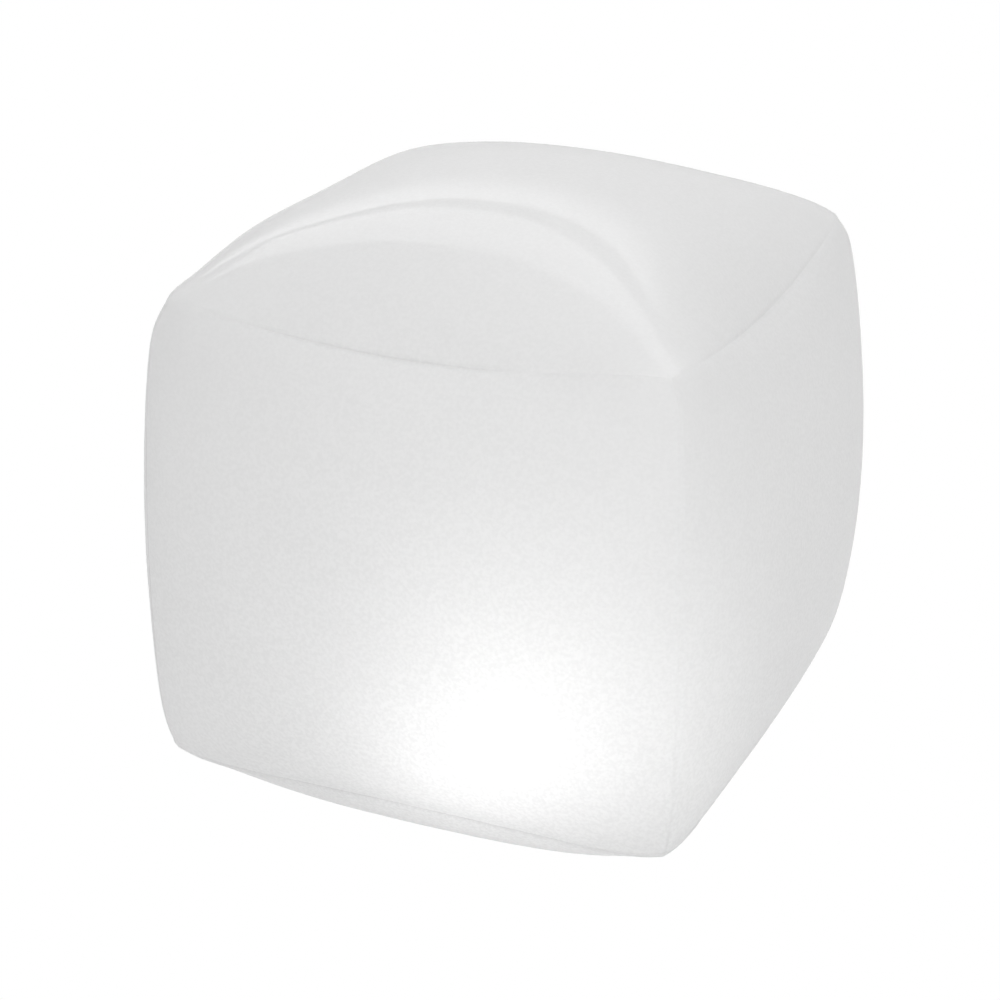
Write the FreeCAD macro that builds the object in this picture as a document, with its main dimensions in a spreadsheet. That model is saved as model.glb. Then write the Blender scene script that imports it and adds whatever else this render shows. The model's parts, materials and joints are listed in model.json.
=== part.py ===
import FreeCAD, Part
import math
import os
import Sketcher

# An inflatable cube of frosted film with a battery lamp pressed into its bottom.
# Millimetres. The origin is in the middle of the footprint, +Z is up, the front
# panel faces -Y and the right panel faces +X.

doc = FreeCAD.newDocument("cube_light")

# name, size in millimetres (or a count, an angle or a ratio), what it is
SIZES = [
    # the inflated film cube
    ("cube_width", 230.0, "across two opposite side panels at their fullest"),
    ("cube_height", 224.0, "from the foot to the crown of the top panel"),
    ("film_thickness", 0.5, "welded film"),
    ("top_corner_reach", 92.0, "from the middle plane to a top corner"),
    ("bottom_corner_reach", 94.5, "from the middle plane to a bottom corner"),
    ("top_corner_drop", 28.5, "crown of the top panel down to its corners"),
    ("bottom_corner_rise", 20.0, "flat of the bottom panel up to its corners"),
    ("corner_blunting", 2.5, "each corner point is drawn in by this"),
    ("top_seam_pull", 1.0, "top seams are drawn in by this between corners"),
    ("top_seam_sag", 11.0, "top seams dip by this between corners"),
    ("bottom_seam_pull", 2.5, "bottom seams are drawn in by this between corners"),
    ("bottom_seam_rise", 0.5, "bottom seams rise by this between corners"),
    ("side_seam_bulge", 3.5, "upright seams swell out by this at mid height"),
    ("shoulder_share", 0.86, "where a panel's shoulder poles lie, as a share of the half span"),
    ("middle_share", 0.50, "where the next poles in lie"),
    ("side_shoulder_share", 0.43, "part of a side panel's crown reached at the shoulder poles"),
    ("side_middle_share", 0.88, "part of it reached at the next poles in"),
    ("top_shoulder_share", 0.46, "the same for the top panel"),
    ("top_middle_share", 0.90, "the same for the top panel"),
    # cells, tray and contacts
    ("cell_radius", 5.25, "battery cell"),
    ("cell_length", 44.5, "battery cell with its tip"),
    ("cell_tip_radius", 1.9, "positive tip"),
    ("cell_tip_length", 0.9, "positive tip"),
    ("cell_spacing", 10.7, "from axis to axis"),
    ("cell_count", 3.0, "battery cells"),
    ("cell_clearance", 0.3, "round the cells, above the cover's ribs and under the tray"),
    ("cell_lift", 1.5, "cells above the cover's plate"),
    ("cell_end_room", 2.4, "from a cell's end to the tray's end wall"),
    ("tray_thickness", 1.4, "plate and end walls of the tray"),
    ("tray_clearance", 0.3, "between the tray and the well's wall and ceiling"),
    ("tray_wall_width", 28.0, "end walls of the tray"),
    ("contact_thickness", 0.4, "contact plates"),
    ("contact_width", 6.0, "contact plate over one cell"),
    ("contact_gap", 0.05, "between a contact and a cell"),
    ("contact_bump_radius", 2.0, "bump that meets a cell's tip"),
    ("spring_width", 4.0, "leaf springs"),
    ("tab_width", 2.0, "tab from a contact up to the board"),
    ("tab_clearance", 0.3, "round a tab in its slot"),
    # the battery cover and its seal
    ("cover_ledge", 3.0, "cover's plate outside the well"),
    ("cover_thickness", 2.0, "plate of the cover"),
    ("cover_recess", 0.2, "cover above the lamp's underside"),
    ("cover_clearance", 0.3, "between the cover's plate and its recess"),
    ("thread_clearance", 0.1, "between the cover's skirt and the well"),
    ("skirt_wall", 1.9, "threaded skirt of the cover"),
    ("skirt_height", 3.0, "threaded skirt above the seal"),
    ("coin_slot_length", 22.0, "slot for a coin"),
    ("coin_slot_width", 2.4, "slot for a coin"),
    ("coin_slot_depth", 1.2, "slot for a coin"),
    ("cover_rib_length", 30.0, "ribs that keep the cells up"),
    ("cover_rib_width", 1.6, "ribs that keep the cells up"),
    ("cover_rib_spacing", 20.0, "ribs that keep the cells up"),
    ("seal_thickness", 1.2, "flat ring seal"),
    ("seal_margin", 0.3, "seal from the skirt and from the cover's edge"),
    # the lamp's housing
    ("foot_recess", 0.5, "the lamp's underside above the foot"),
    ("housing_wall", 2.0, "side wall and floor"),
    ("rim_width", 1.2, "rim that stops the lamp in the ring"),
    ("rim_thickness", 1.6, "rim that stops the lamp in the ring"),
    ("well_wall", 1.8, "wall of the battery well"),
    ("well_ceiling", 1.5, "ceiling of the battery well"),
    ("well_margin", 0.7, "from the cover recess's boss to the outside, at -X"),
    ("button_margin", 0.15, "from that boss to the button's guide tube"),
    ("button_side_room", 3.0, "from the guide tube to the housing's wall, at +X"),
    ("post_radius", 3.0, "screw posts"),
    ("post_merge", 0.8, "posts sunk into the housing's wall"),
    ("post_angle_front", 45.0, "first pair of posts, each side of +X"),
    ("post_angle_rear", 110.0, "second pair of posts, each side of +X"),
    ("pillar_height", 3.0, "board above the well"),
    ("pillar_radius", 2.6, "board pillars"),
    ("pillar_circle_radius", 24.0, "from the axis to the board pillars"),
    ("pillar_count", 3.0, "board pillars"),
    ("wall_above_board", 1.9, "housing's wall above the board"),
    ("bead_clearance", 0.3, "snap bead inside the snap groove"),
    # the soft ring welded into the bottom panel
    ("ring_clearance", 0.3, "between the ring's bore and the lamp"),
    ("ring_wall", 2.6, "wall of the ring's collar"),
    ("ring_setback", 0.7, "top of the collar below the lamp's upper edge"),
    ("ring_flange_width", 6.1, "weld flange outside the collar"),
    ("ring_flange_thickness", 1.4, "weld flange under the film"),
    ("ring_lip_round", 0.8, "rounding of the collar's top"),
    ("film_clearance", 0.2, "film hole round the collar"),
    ("film_flat_margin", 0.5, "flat film outside the weld flange"),
    ("groove_bottom", 17.0, "snap groove in the bore"),
    ("groove_height", 2.4, "snap groove in the bore"),
    ("groove_depth", 1.3, "snap groove in the bore"),
    # the board
    ("board_thickness", 1.6, "board"),
    ("board_clearance", 0.5, "board inside the housing's wall"),
    ("notch_clearance", 0.7, "round each screw post"),
    ("led_side", 5.0, "square LED package"),
    ("led_height", 1.4, "LED package"),
    ("led_lens_radius", 1.9, "round lens on the package"),
    ("led_lens_height", 0.7, "round lens on the package"),
    ("led_spacing", 9.0, "between the LEDs, along X and Y"),
    ("led_count", 2.0, "LEDs in each row, and rows"),
    ("chip_length", 6.0, "control chip"),
    ("chip_width", 5.0, "control chip"),
    ("chip_height", 1.5, "control chip"),
    ("chip_offset", 8.0, "control chip from the axis, towards +X"),
    ("resistor_length", 2.0, "resistors"),
    ("resistor_width", 1.2, "resistors"),
    ("resistor_height", 0.6, "resistors"),
    ("resistor_spacing", 3.0, "resistors"),
    ("resistor_count", 5.0, "resistors"),
    ("resistor_offset", 4.0, "row of resistors from the axis, towards -X"),
    # the reflector, the dome and its seal
    ("reflector_inner_radius", 12.0, "reflector's window"),
    ("reflector_clearance", 0.7, "reflector inside the screw posts"),
    ("reflector_rise", 2.2, "reflector's rim above its window"),
    ("reflector_thickness", 0.8, "reflector"),
    ("dome_seal_thickness", 0.8, "gasket under the dome"),
    ("dome_seal_margin", 0.2, "gasket inside the housing's edge"),
    ("dome_rim_thickness", 4.5, "rim of the dome"),
    ("dome_shoulder", 1.5, "flat of the rim outside the dome"),
    ("dome_rise", 17.2, "dome above its rim"),
    ("dome_wall", 2.0, "dome"),
    # switch and button
    ("button_radius", 3.5, "face of the button"),
    ("button_recess", 0.3, "button's face above the lamp's underside"),
    ("button_clearance", 0.15, "round the button's face"),
    ("button_travel", 0.8, "push"),
    ("button_length", 8.0, "the button's wide part"),
    ("button_stop_gap", 0.1, "left at the end of the push"),
    ("button_dish", 0.4, "hollow in the button's face"),
    ("button_edge", 0.7, "flat edge round the hollow"),
    ("stem_radius", 2.2, "button's stem"),
    ("stem_clearance", 0.05, "round the stem"),
    ("guide_wall", 1.6, "guide tube of the button"),
    ("guide_lip", 1.2, "lip that stops the button"),
    ("button_seal_thickness", 1.5, "soft ring on the guide tube"),
    ("switch_side", 6.0, "square body of the push switch"),
    ("switch_height", 3.5, "body of the push switch"),
    ("plunger_radius", 1.7, "switch plunger"),
    ("plunger_reach", 1.2, "plunger below the switch's body"),
    ("plunger_depth", 0.5, "plunger inside the switch's body at rest"),
    ("plunger_clearance", 0.1, "round and above the plunger"),
    # screws
    ("screw_radius", 1.2, "shanks"),
    ("screw_clearance", 0.2, "round a shank where it passes through"),
    ("screw_head_radius", 2.3, "heads"),
    ("screw_head_height", 1.2, "heads"),
    ("screw_head_recess", 0.4, "heads above the lamp's underside"),
    ("screw_bite", 3.4, "shank inside the rim that it bites into"),
    ("board_screw_bite", 2.2, "board screws below the board"),
    # the air valve, low in the back panel
    ("valve_side", 52.0, "valve from the middle plane, towards -X"),
    ("valve_level", 48.0, "valve above the foot"),
    ("valve_bore_radius", 3.0, "airway"),
    ("valve_stem_wall", 3.0, "wall of the stem"),
    ("valve_slide_clearance", 0.1, "between the stem and its collar"),
    ("valve_collar_wall", 1.5, "collar round the stem"),
    ("valve_collar_length", 5.0, "collar behind the flange"),
    ("valve_film_clearance", 0.5, "film hole round the stem"),
    ("valve_flange_width", 8.4, "weld flange outside the collar"),
    ("valve_flange_thickness", 0.8, "weld flange inside the film"),
    ("valve_travel", 5.0, "stem pulls out by this to be blown up"),
    ("valve_stop_gap", 0.4, "left between stop ring and collar, pulled out"),
    ("valve_stop_width", 0.9, "stop ring on the stem's inner end"),
    ("valve_stop_height", 1.0, "stop ring on the stem's inner end"),
    ("valve_lip_width", 2.0, "lip of the stem outside the film"),
    ("valve_lip_thickness", 1.0, "lip of the stem outside the film"),
    ("valve_lip_gap", 0.1, "lip above the film"),
    ("plug_cap_radius", 5.0, "cap of the plug"),
    ("plug_cap_thickness", 1.4, "cap of the plug"),
    ("plug_seat_gap", 0.05, "cap above the lip"),
    ("plug_root_clearance", 0.2, "spigot in the airway, at the cap"),
    ("plug_tip_clearance", 0.7, "spigot in the airway, at its end"),
    ("plug_spigot_length", 2.8, "spigot"),
    ("strap_width", 3.0, "strap and pull tab"),
    ("strap_thickness", 0.8, "strap and pull tab"),
    ("tab_overhang", 3.0, "pull tab beyond the cap"),
    ("strap_inset", 1.2, "strap's fold line inside the lip's edge"),
    ("strap_gap", 0.1, "between the strap's end and its fold line"),
    ("strap_anchor_length", 0.75, "low block on the lip that holds the strap"),
    ("strap_anchor_height", 0.3, "low block on the lip that holds the strap"),
    ("flap_radius", 4.2, "non-return flap"),
    ("flap_thickness", 0.6, "non-return flap"),
    ("flap_gap", 0.05, "flap below the stem's end"),
]


def make_sheet():
    """The driving dimensions, one row each: name, number, note."""
    made = doc.addObject("Spreadsheet::Sheet", "sizes")
    for row, (name, value, note) in enumerate(SIZES, start=1):
        made.set("A%d" % row, name)
        made.set("B%d" % row, "%g" % value)
        made.set("C%d" % row, note)
        made.setAlias("B%d" % row, name)
    doc.recompute()
    return made


sheet = make_sheet()
NAMES = {name for name, value, note in SIZES}

# places worked out from the sizes: sums of names, numbers and products
PLACES = {
    "film_bottom": "ring_flange_thickness",
    "cells_half_width": "cell_spacing * cell_count / 2 - cell_spacing / 2 + cell_radius",
    "tray_half_length": "cell_length / 2 + cell_end_room",
    # battery well and cover, outwards from the cells
    "skirt_inner_radius": "cells_reach + cell_clearance",
    "skirt_radius": "skirt_inner_radius + skirt_wall",
    "well_radius": "skirt_radius + thread_clearance",
    "cover_radius": "well_radius + cover_ledge",
    "recess_radius": "cover_radius + cover_clearance",
    "recess_boss_radius": "recess_radius + housing_wall",
    # housing and ring, outwards from the well and the button beside it
    "guide_bore_radius": "button_radius + button_clearance",
    "guide_radius": "guide_bore_radius + guide_wall",
    "housing_radius": "well_margin / 2 + recess_boss_radius + button_margin / 2 + guide_radius"
                      " + button_side_room / 2 + housing_wall / 2",
    "housing_inner_radius": "housing_radius - housing_wall",
    "well_offset": "housing_radius - well_margin - recess_boss_radius",
    "button_offset": "recess_boss_radius - well_offset + button_margin + guide_radius",
    "rim_radius": "housing_radius + rim_width",
    "rim_pocket_radius": "rim_radius + ring_clearance",
    "post_circle": "housing_inner_radius - post_radius + post_merge",
    "ring_bore_radius": "housing_radius + ring_clearance",
    "ring_outer_radius": "ring_bore_radius + ring_wall",
    "ring_flange_radius": "ring_outer_radius + ring_flange_width",
    "film_hole_radius": "ring_outer_radius + film_clearance",
    "groove_top": "groove_bottom + groove_height",
    "groove_radius": "ring_bore_radius + groove_depth",
    "bead_low": "groove_bottom + bead_clearance",
    "bead_high": "groove_top - bead_clearance",
    "bead_radius": "groove_radius - bead_clearance",
    # heights, upwards from the foot
    "rim_top": "foot_recess + rim_thickness",
    "floor_top": "foot_recess + housing_wall",
    "cover_bottom": "foot_recess + cover_recess",
    "cover_top": "cover_bottom + cover_thickness",
    "seal_top": "cover_top + seal_thickness",
    "skirt_top": "seal_top + skirt_height",
    "recess_boss_top": "seal_top + housing_wall",
    "cell_bottom": "cover_top + cell_lift",
    "cell_axis": "cell_bottom + cell_radius",
    "cell_top": "cell_axis + cell_radius",
    "tray_bottom": "skirt_top + cell_clearance",
    "tray_plate_bottom": "cell_top + cell_clearance",
    "tray_top": "tray_plate_bottom + tray_thickness",
    "well_top_inside": "tray_top + tray_clearance",
    "well_top": "well_top_inside + well_ceiling",
    "board_bottom": "well_top + pillar_height",
    "board_top": "board_bottom + board_thickness",
    "board_radius": "housing_inner_radius - board_clearance",
    "housing_top": "board_top + wall_above_board",
    "ring_top": "housing_top - ring_setback",
    "dome_seat": "housing_top + dome_seal_thickness",
    "dome_rim_top": "dome_seat + dome_rim_thickness",
    "dome_rim_inner": "post_circle - post_radius",
    "dome_radius": "housing_radius - dome_shoulder",
    "dome_top": "dome_rim_top + dome_rise",
    "reflector_outer_radius": "dome_rim_inner - reflector_clearance",
    # button and switch
    "button_bottom": "foot_recess + button_recess",
    "button_shoulder": "button_bottom + button_length",
    "guide_bore_top": "button_shoulder + button_travel + button_stop_gap",
    "guide_top": "guide_bore_top + guide_lip",
    "button_seal_top": "guide_top + button_seal_thickness",
    "stem_bore_radius": "stem_radius + stem_clearance",
    "switch_bottom": "board_bottom - switch_height",
    "plunger_bottom": "switch_bottom - plunger_reach",
    "plunger_top": "switch_bottom + plunger_depth",
    "plunger_room_top": "plunger_top + button_travel + plunger_clearance",
    # screws
    "head_bottom": "foot_recess + screw_head_recess",
    "head_top": "head_bottom + screw_head_height",
    "screw_top": "dome_seat + screw_bite",
    # valve, along its own axis: 0 is the film's outer face, inwards is negative
    "valve_stem_radius": "valve_bore_radius + valve_stem_wall",
    "valve_collar_bore": "valve_stem_radius + valve_slide_clearance",
    "valve_collar_radius": "valve_collar_bore + valve_collar_wall",
    "valve_hole_radius": "valve_stem_radius + valve_film_clearance",
    "valve_flange_radius": "valve_collar_radius + valve_flange_width",
    "valve_flange_bottom": "0 - film_thickness - valve_flange_thickness",
    "valve_collar_bottom": "valve_flange_bottom - valve_collar_length",
    "valve_stop_top": "valve_collar_bottom - valve_travel - valve_stop_gap",
    "valve_stem_bottom": "valve_stop_top - valve_stop_height",
    "valve_lip_radius": "valve_stem_radius + valve_lip_width",
    "valve_lip_top": "valve_lip_gap + valve_lip_thickness",
    "plug_bottom": "valve_lip_top + plug_seat_gap",
    "plug_top": "plug_bottom + plug_cap_thickness",
    "strap_pivot": "valve_lip_radius - strap_inset",
    "flap_top": "valve_stem_bottom - flap_gap",
    "flap_bottom": "flap_top - flap_thickness",
}

# the distance from an axis to a corner, from the corner's two sides
CORNERS = {
    "cells_reach": ("cells_half_width", "cell_length / 2"),
}


def spelled_out(text):
    """A sum with every place replaced by the sizes it is made of."""
    words = []
    for word in text.split():
        if word in PLACES:
            word = "(" + spelled_out(PLACES[word]) + ")"
        elif word in CORNERS:
            sides = [spelled_out(side) for side in CORNERS[word]]
            word = "hypot(%s; %s)" % tuple(sides)
        elif word in NAMES:
            word = "sizes." + word
        words.append(word)
    return " ".join(words)


def factor_of(word):
    if word in PLACES:
        return amount(PLACES[word])
    if word in CORNERS:
        return math.hypot(*[amount(side) for side in CORNERS[word]])
    if word in NAMES:
        return float(sheet.get(word))
    return float(word)


def amount(text):
    """The same sum as a plain number."""
    total = 0.0
    sign = 1.0
    term = None
    operator = "*"
    for word in text.split():
        if word in ("+", "-"):
            total += sign * term
            sign = 1.0 if word == "+" else -1.0
            term = None
        elif word in ("*", "/"):
            operator = word
        elif term is None:
            term = factor_of(word)
        elif operator == "*":
            term *= factor_of(word)
        else:
            term /= factor_of(word)
    return total + sign * term


def count(name):
    return int(round(amount(name)))


def bind(target, prop, text):
    target.setExpression(prop, spelled_out(text))


# ---------------------------------------------------------------- bodies

made_parts = []


def new_body(label):
    body = doc.addObject("PartDesign::Body", label)
    body.Label = label
    made_parts.append(body)
    return body


def front_plane(body):
    return [plane for plane in body.Origin.OriginFeatures if plane.Role == "XZ_Plane"][0]


def pin(sketch, line, corner, axis, text):
    """Fixes one end of a line at its distance from the sketch's origin."""
    if text == "0":
        other_axis = -2 if axis == "DistanceX" else -1
        sketch.addConstraint(Sketcher.Constraint("PointOnObject", line, corner, other_axis))
        return
    placed = Sketcher.Constraint(axis, -1, 1, line, corner, amount(text))
    index = sketch.addConstraint(placed)
    bind(sketch, "Constraints[%d]" % index, text)


def arc_about_axis(start, end):
    """The arc centred on the upright axis through two points, and whether it runs backwards."""
    rise = start.y - end.y
    level = (start.x ** 2 + start.y ** 2 - end.x ** 2 - end.y ** 2) / (2.0 * rise)
    centre = FreeCAD.Vector(0, level, 0)
    angles = [math.atan2(point.y - level, point.x) for point in (start, end)]
    circle = Part.Circle(centre, FreeCAD.Vector(0, 0, 1), start.distanceToPoint(centre))
    backwards = angles[0] > angles[1]
    return Part.ArcOfCircle(circle, min(angles), max(angles)), backwards


def outline(body, name, points):
    """A closed outline whose corners follow the sizes.

    Each corner is (across, up), with "arc" after it where an arc centred on the
    upright axis leads to the next corner in place of a straight line.
    """
    sketch = body.newObject("Sketcher::SketchObject", name)
    sketch.AttachmentSupport = (front_plane(body), [""])
    sketch.MapMode = "FlatFace"
    corners = [FreeCAD.Vector(amount(point[0]), amount(point[1]), 0) for point in points]
    ends = []
    for point, start, end in zip(points, corners, corners[1:] + corners[:1]):
        backwards = False
        if "arc" in point:
            arc, backwards = arc_about_axis(start, end)
            line = sketch.addGeometry(arc, False)
            sketch.addConstraint(Sketcher.Constraint("PointOnObject", line, 3, -2))
        else:
            line = sketch.addGeometry(Part.LineSegment(start, end), False)
        ends.append((line, 2, 1) if backwards else (line, 1, 2))
    for here, after in zip(ends, ends[1:] + ends[:1]):
        sketch.addConstraint(Sketcher.Constraint("Coincident", here[0], here[2], after[0], after[1]))
    for point, (line, first, last) in zip(points, ends):
        pin(sketch, line, first, "DistanceX", point[0])
        pin(sketch, line, first, "DistanceY", point[1])
    return sketch


def turned(body, name, points, cut=False):
    """A solid (or a cut) turned about the body's Z axis from (radius, height) corners."""
    sketch = outline(body, name + "_outline", points)
    kind = "PartDesign::Groove" if cut else "PartDesign::Revolution"
    feature = body.newObject(kind, name)
    feature.Profile = sketch
    feature.ReferenceAxis = (sketch, ["V_Axis"])
    feature.Angle = 360
    doc.recompute()
    return feature


def cylinder(body, name, radius, low, high, across="0", back="0", cut=False):
    """An upright cylinder from one height to another, added or cut."""
    kind = "PartDesign::SubtractiveCylinder" if cut else "PartDesign::AdditiveCylinder"
    feature = body.newObject(kind, name)
    bind(feature, "Radius", radius)
    feature.setExpression("Height", "%s - (%s)" % (spelled_out(high), spelled_out(low)))
    bind(feature, "Placement.Base.x", across)
    bind(feature, "Placement.Base.y", back)
    bind(feature, "Placement.Base.z", low)
    doc.recompute()
    return feature


def box(body, name, lengths, corner, cut=False):
    """A box of three lengths from its lowest corner, added or cut."""
    kind = "PartDesign::SubtractiveBox" if cut else "PartDesign::AdditiveBox"
    feature = body.newObject(kind, name)
    for prop, text in zip(("Length", "Width", "Height"), lengths):
        bind(feature, prop, text)
    for axis, text in zip("xyz", corner):
        bind(feature, "Placement.Base." + axis, text)
    doc.recompute()
    return feature


def polar(radius_text, degrees):
    """A point on a circle, as two sums that follow the circle's size."""
    across = "%s * %.9f" % (radius_text, math.cos(math.radians(degrees)))
    back = "%s * %.9f" % (radius_text, math.sin(math.radians(degrees)))
    return across, back


def post_angles():
    front = amount("post_angle_front")
    rear = amount("post_angle_rear")
    return [front, rear, -rear, -front]


def pillar_angles():
    step = 360.0 / count("pillar_count")
    return [180.0 + step * index for index in range(count("pillar_count"))]


def edges_at(shape, radius, height, tolerance=0.01):
    """Names of the round edges of one radius at one height."""
    found = []
    for index, edge in enumerate(shape.Edges, start=1):
        curve = edge.Curve
        if curve.TypeId != "Part::GeomCircle":
            continue
        if abs(curve.Radius - radius) < tolerance and abs(curve.Center.z - height) < tolerance:
            found.append("Edge%d" % index)
    return found


def rounded(body, base, radius, spots, name="Rounding"):
    """Rounds the circular edges at the given (radius, height) places."""
    names = []
    for spot_radius, spot_height in spots:
        names += edges_at(base.Shape, amount(spot_radius), amount(spot_height))
    feature = body.newObject("PartDesign::Fillet", name)
    feature.Base = (base, names)
    bind(feature, "Radius", radius)
    doc.recompute()
    return feature


def computed(label, shape):
    """A sub-part whose shape is worked out here from the sizes."""
    feature = doc.addObject("Part::Feature", label)
    feature.Label = label
    feature.Shape = shape
    feature.Placement = FreeCAD.Placement()
    made_parts.append(feature)
    return feature


# ------------------------------------------------------------- film panels

STEPS = 7                      # poles along each side of a panel
KNOTS = [0.0, 1.0, 2.0, 3.0, 4.0]
MULTIPLICITIES = [4, 1, 1, 1, 4]
MIDDLE_WEIGHTS = [0.0, 0.0, 1.0 / 6.0, 4.0 / 6.0, 1.0 / 6.0, 0.0, 0.0]


def stations():
    shoulder = amount("shoulder_share")
    middle = amount("middle_share")
    return [-1.0, -shoulder, -middle, 0.0, middle, shoulder, 1.0]


def flat_station():
    """Where the bottom's middle poles lie, for its flat to take in the ring's weld flange."""
    flat = amount("ring_flange_radius + film_flat_margin") / amount("bottom_corner_reach")
    return (flat - amount("shoulder_share") / 4.0) * 12.0 / 7.0


def level_seam(reach, level, pull, sag, upward):
    """Poles of a level seam along the front, from left to right."""
    blunt = amount("corner_blunting")
    poles = []
    for station in stations():
        bow = 1.0 - station * station
        poles.append(FreeCAD.Vector(reach * station, -(reach - pull * bow), level - sag * bow))
    poles[0] += FreeCAD.Vector(blunt, blunt, -upward * blunt)
    poles[-1] += FreeCAD.Vector(-blunt, blunt, -upward * blunt)
    return poles


def upright_seam(bottom, top):
    """Poles of the seam at the front right, from the bottom corner to the top one."""
    low = amount("film_bottom + bottom_corner_rise")
    high = amount("cube_height - top_corner_drop")
    low_reach = amount("bottom_corner_reach")
    high_reach = amount("top_corner_reach")
    poles = []
    for station in stations():
        share = (station + 1.0) / 2.0
        reach = low_reach + (high_reach - low_reach) * share
        reach += amount("side_seam_bulge") * (1.0 - station * station)
        poles.append(FreeCAD.Vector(reach, -reach, low + (high - low) * share))
    poles[0] = bottom[-1]
    poles[-1] = top[-1]
    return poles


def filled_grid(low, high, left, right):
    """Poles of the patch that four seams span, as grid[across][up]."""
    shares = [(station + 1.0) / 2.0 for station in stations()]
    grid = []
    for i, across in enumerate(shares):
        column = []
        for j, up in enumerate(shares):
            point = low[i] * (1 - up) + high[i] * up
            point += left[j] * (1 - across) + right[j] * across
            point -= low[0] * ((1 - across) * (1 - up)) + low[-1] * (across * (1 - up))
            point -= high[0] * ((1 - across) * up) + high[-1] * (across * up)
            column.append(point)
        grid.append(column)
    return grid


def crown(shoulder, middle_in):
    """How much of a panel's crown each row of poles takes, so that its middle takes all."""
    centre = (6.0 - 2.0 * middle_in) / 4.0
    return [0.0, shoulder, middle_in, centre, middle_in, shoulder, 0.0]


def middle_of(grid):
    """Where the patch of these poles has its middle."""
    point = FreeCAD.Vector()
    for i in range(STEPS):
        for j in range(STEPS):
            point += grid[i][j] * (MIDDLE_WEIGHTS[i] * MIDDLE_WEIGHTS[j])
    return point


def swelled(grid, rows, direction, reach):
    """The grid pushed along a direction until its middle has the given reach."""
    push = reach - middle_of(grid).dot(direction)
    swollen = []
    for i in range(STEPS):
        column = [grid[i][j] + direction * (push * rows[i] * rows[j]) for j in range(STEPS)]
        swollen.append(column)
    return swollen


def flattened(grid, reach, level):
    """The grid with its poles inside the seams laid at one level, about a square flat."""
    shoulder = amount("shoulder_share")
    middle = flat_station()
    spots = [-1.0, -shoulder, -middle, 0.0, middle, shoulder, 1.0]
    flat = []
    for i in range(STEPS):
        column = []
        for j in range(STEPS):
            point = FreeCAD.Vector(grid[i][j])
            if 0 < i < STEPS - 1 and 0 < j < STEPS - 1:
                point = FreeCAD.Vector(reach * spots[i], -reach * spots[STEPS - 1 - j], level)
            column.append(point)
        flat.append(column)
    return flat


def quarter_turns(points, turns):
    turn = FreeCAD.Rotation(FreeCAD.Vector(0, 0, 1), 90.0 * turns)
    return [turn.multVec(point) for point in points]


def panel_grids():
    """The poles of the six panels' outer faces."""
    top = level_seam(amount("top_corner_reach"), amount("cube_height - top_corner_drop"),
                     amount("top_seam_pull"), amount("top_seam_sag"), 1.0)
    bottom = level_seam(amount("bottom_corner_reach"), amount("film_bottom + bottom_corner_rise"),
                        amount("bottom_seam_pull"), -amount("bottom_seam_rise"), -1.0)
    right = upright_seam(bottom, top)
    left = [FreeCAD.Vector(-point.x, point.y, point.z) for point in right]
    side = filled_grid(bottom, top, left, right)
    side_rows = crown(amount("side_shoulder_share"), amount("side_middle_share"))
    side = swelled(side, side_rows, FreeCAD.Vector(0, -1, 0), amount("cube_width / 2"))
    grids = {}
    for turns, name in enumerate(("front_panel", "right_panel", "back_panel", "left_panel")):
        grids[name] = [quarter_turns(column, turns) for column in side]
    lid = filled_grid(top, list(reversed(quarter_turns(top, 2))),
                      list(reversed(quarter_turns(top, 3))), quarter_turns(top, 1))
    top_rows = crown(amount("top_shoulder_share"), amount("top_middle_share"))
    grids["top_panel"] = swelled(lid, top_rows, FreeCAD.Vector(0, 0, 1), amount("cube_height"))
    base = filled_grid(bottom, list(reversed(quarter_turns(bottom, 2))),
                       list(reversed(quarter_turns(bottom, 3))), quarter_turns(bottom, 1))
    grids["bottom_panel"] = flattened(base, amount("bottom_corner_reach"), amount("film_bottom"))
    return grids


def cube_centre():
    return FreeCAD.Vector(0, 0, amount("cube_height / 2 + film_bottom / 2"))


def drawn_in(grid, depth):
    """The grid moved towards the cube's centre, by the depth at the middle of a side."""
    centre = cube_centre()
    share = 1.0 - depth / amount("cube_width / 2")
    return [[centre + (point - centre) * share for point in column] for column in grid]


def patch(grid):
    surface = Part.BSplineSurface()
    surface.buildFromPolesMultsKnots(grid, MULTIPLICITIES, MULTIPLICITIES, KNOTS, KNOTS,
                                     False, False, 3, 3)
    return surface


def mitre(outer_row, inner_row):
    """The narrow face along a seam, from the outer face to the inner one."""
    surface = Part.BSplineSurface()
    rows = [[outer, inner] for outer, inner in zip(outer_row, inner_row)]
    surface.buildFromPolesMultsKnots(rows, MULTIPLICITIES, [2, 2], KNOTS, [0.0, 1.0],
                                     False, False, 3, 1)
    return surface


def film(grid, outside, inside):
    """A closed sheet of film between two depths below the cube's outer surface."""
    outer = drawn_in(grid, outside)
    inner = drawn_in(grid, inside)
    faces = [patch(outer).toShape(), patch(inner).toShape()]
    rows = [
        (outer[0], inner[0]),
        (outer[-1], inner[-1]),
        ([column[0] for column in outer], [column[0] for column in inner]),
        ([column[-1] for column in outer], [column[-1] for column in inner]),
    ]
    faces += [mitre(*row).toShape() for row in rows]
    shell = Part.makeShell(faces)
    shell.sewShape()
    solid = Part.makeSolid(shell)
    if solid.Volume < 0:
        solid.reverse()
    return solid


GRIDS = panel_grids()


def upright(radius, low, high):
    return Part.makeCylinder(radius, high - low, FreeCAD.Vector(0, 0, low))


def make_panels(valve_place):
    thickness = amount("film_thickness")
    for name, grid in GRIDS.items():
        panel = film(grid, 0.0, thickness)
        if name == "bottom_panel":
            panel = panel.cut(upright(amount("film_hole_radius"), 0.0, amount("ring_top")))
        if name == "back_panel":
            reach = amount("valve_flange_radius")
            hole = Part.makeCylinder(amount("valve_hole_radius"), 2 * reach,
                                     FreeCAD.Vector(0, 0, -reach))
            hole.Placement = valve_place
            panel = panel.cut(hole)
        computed(name, panel.Solids[0])


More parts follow.
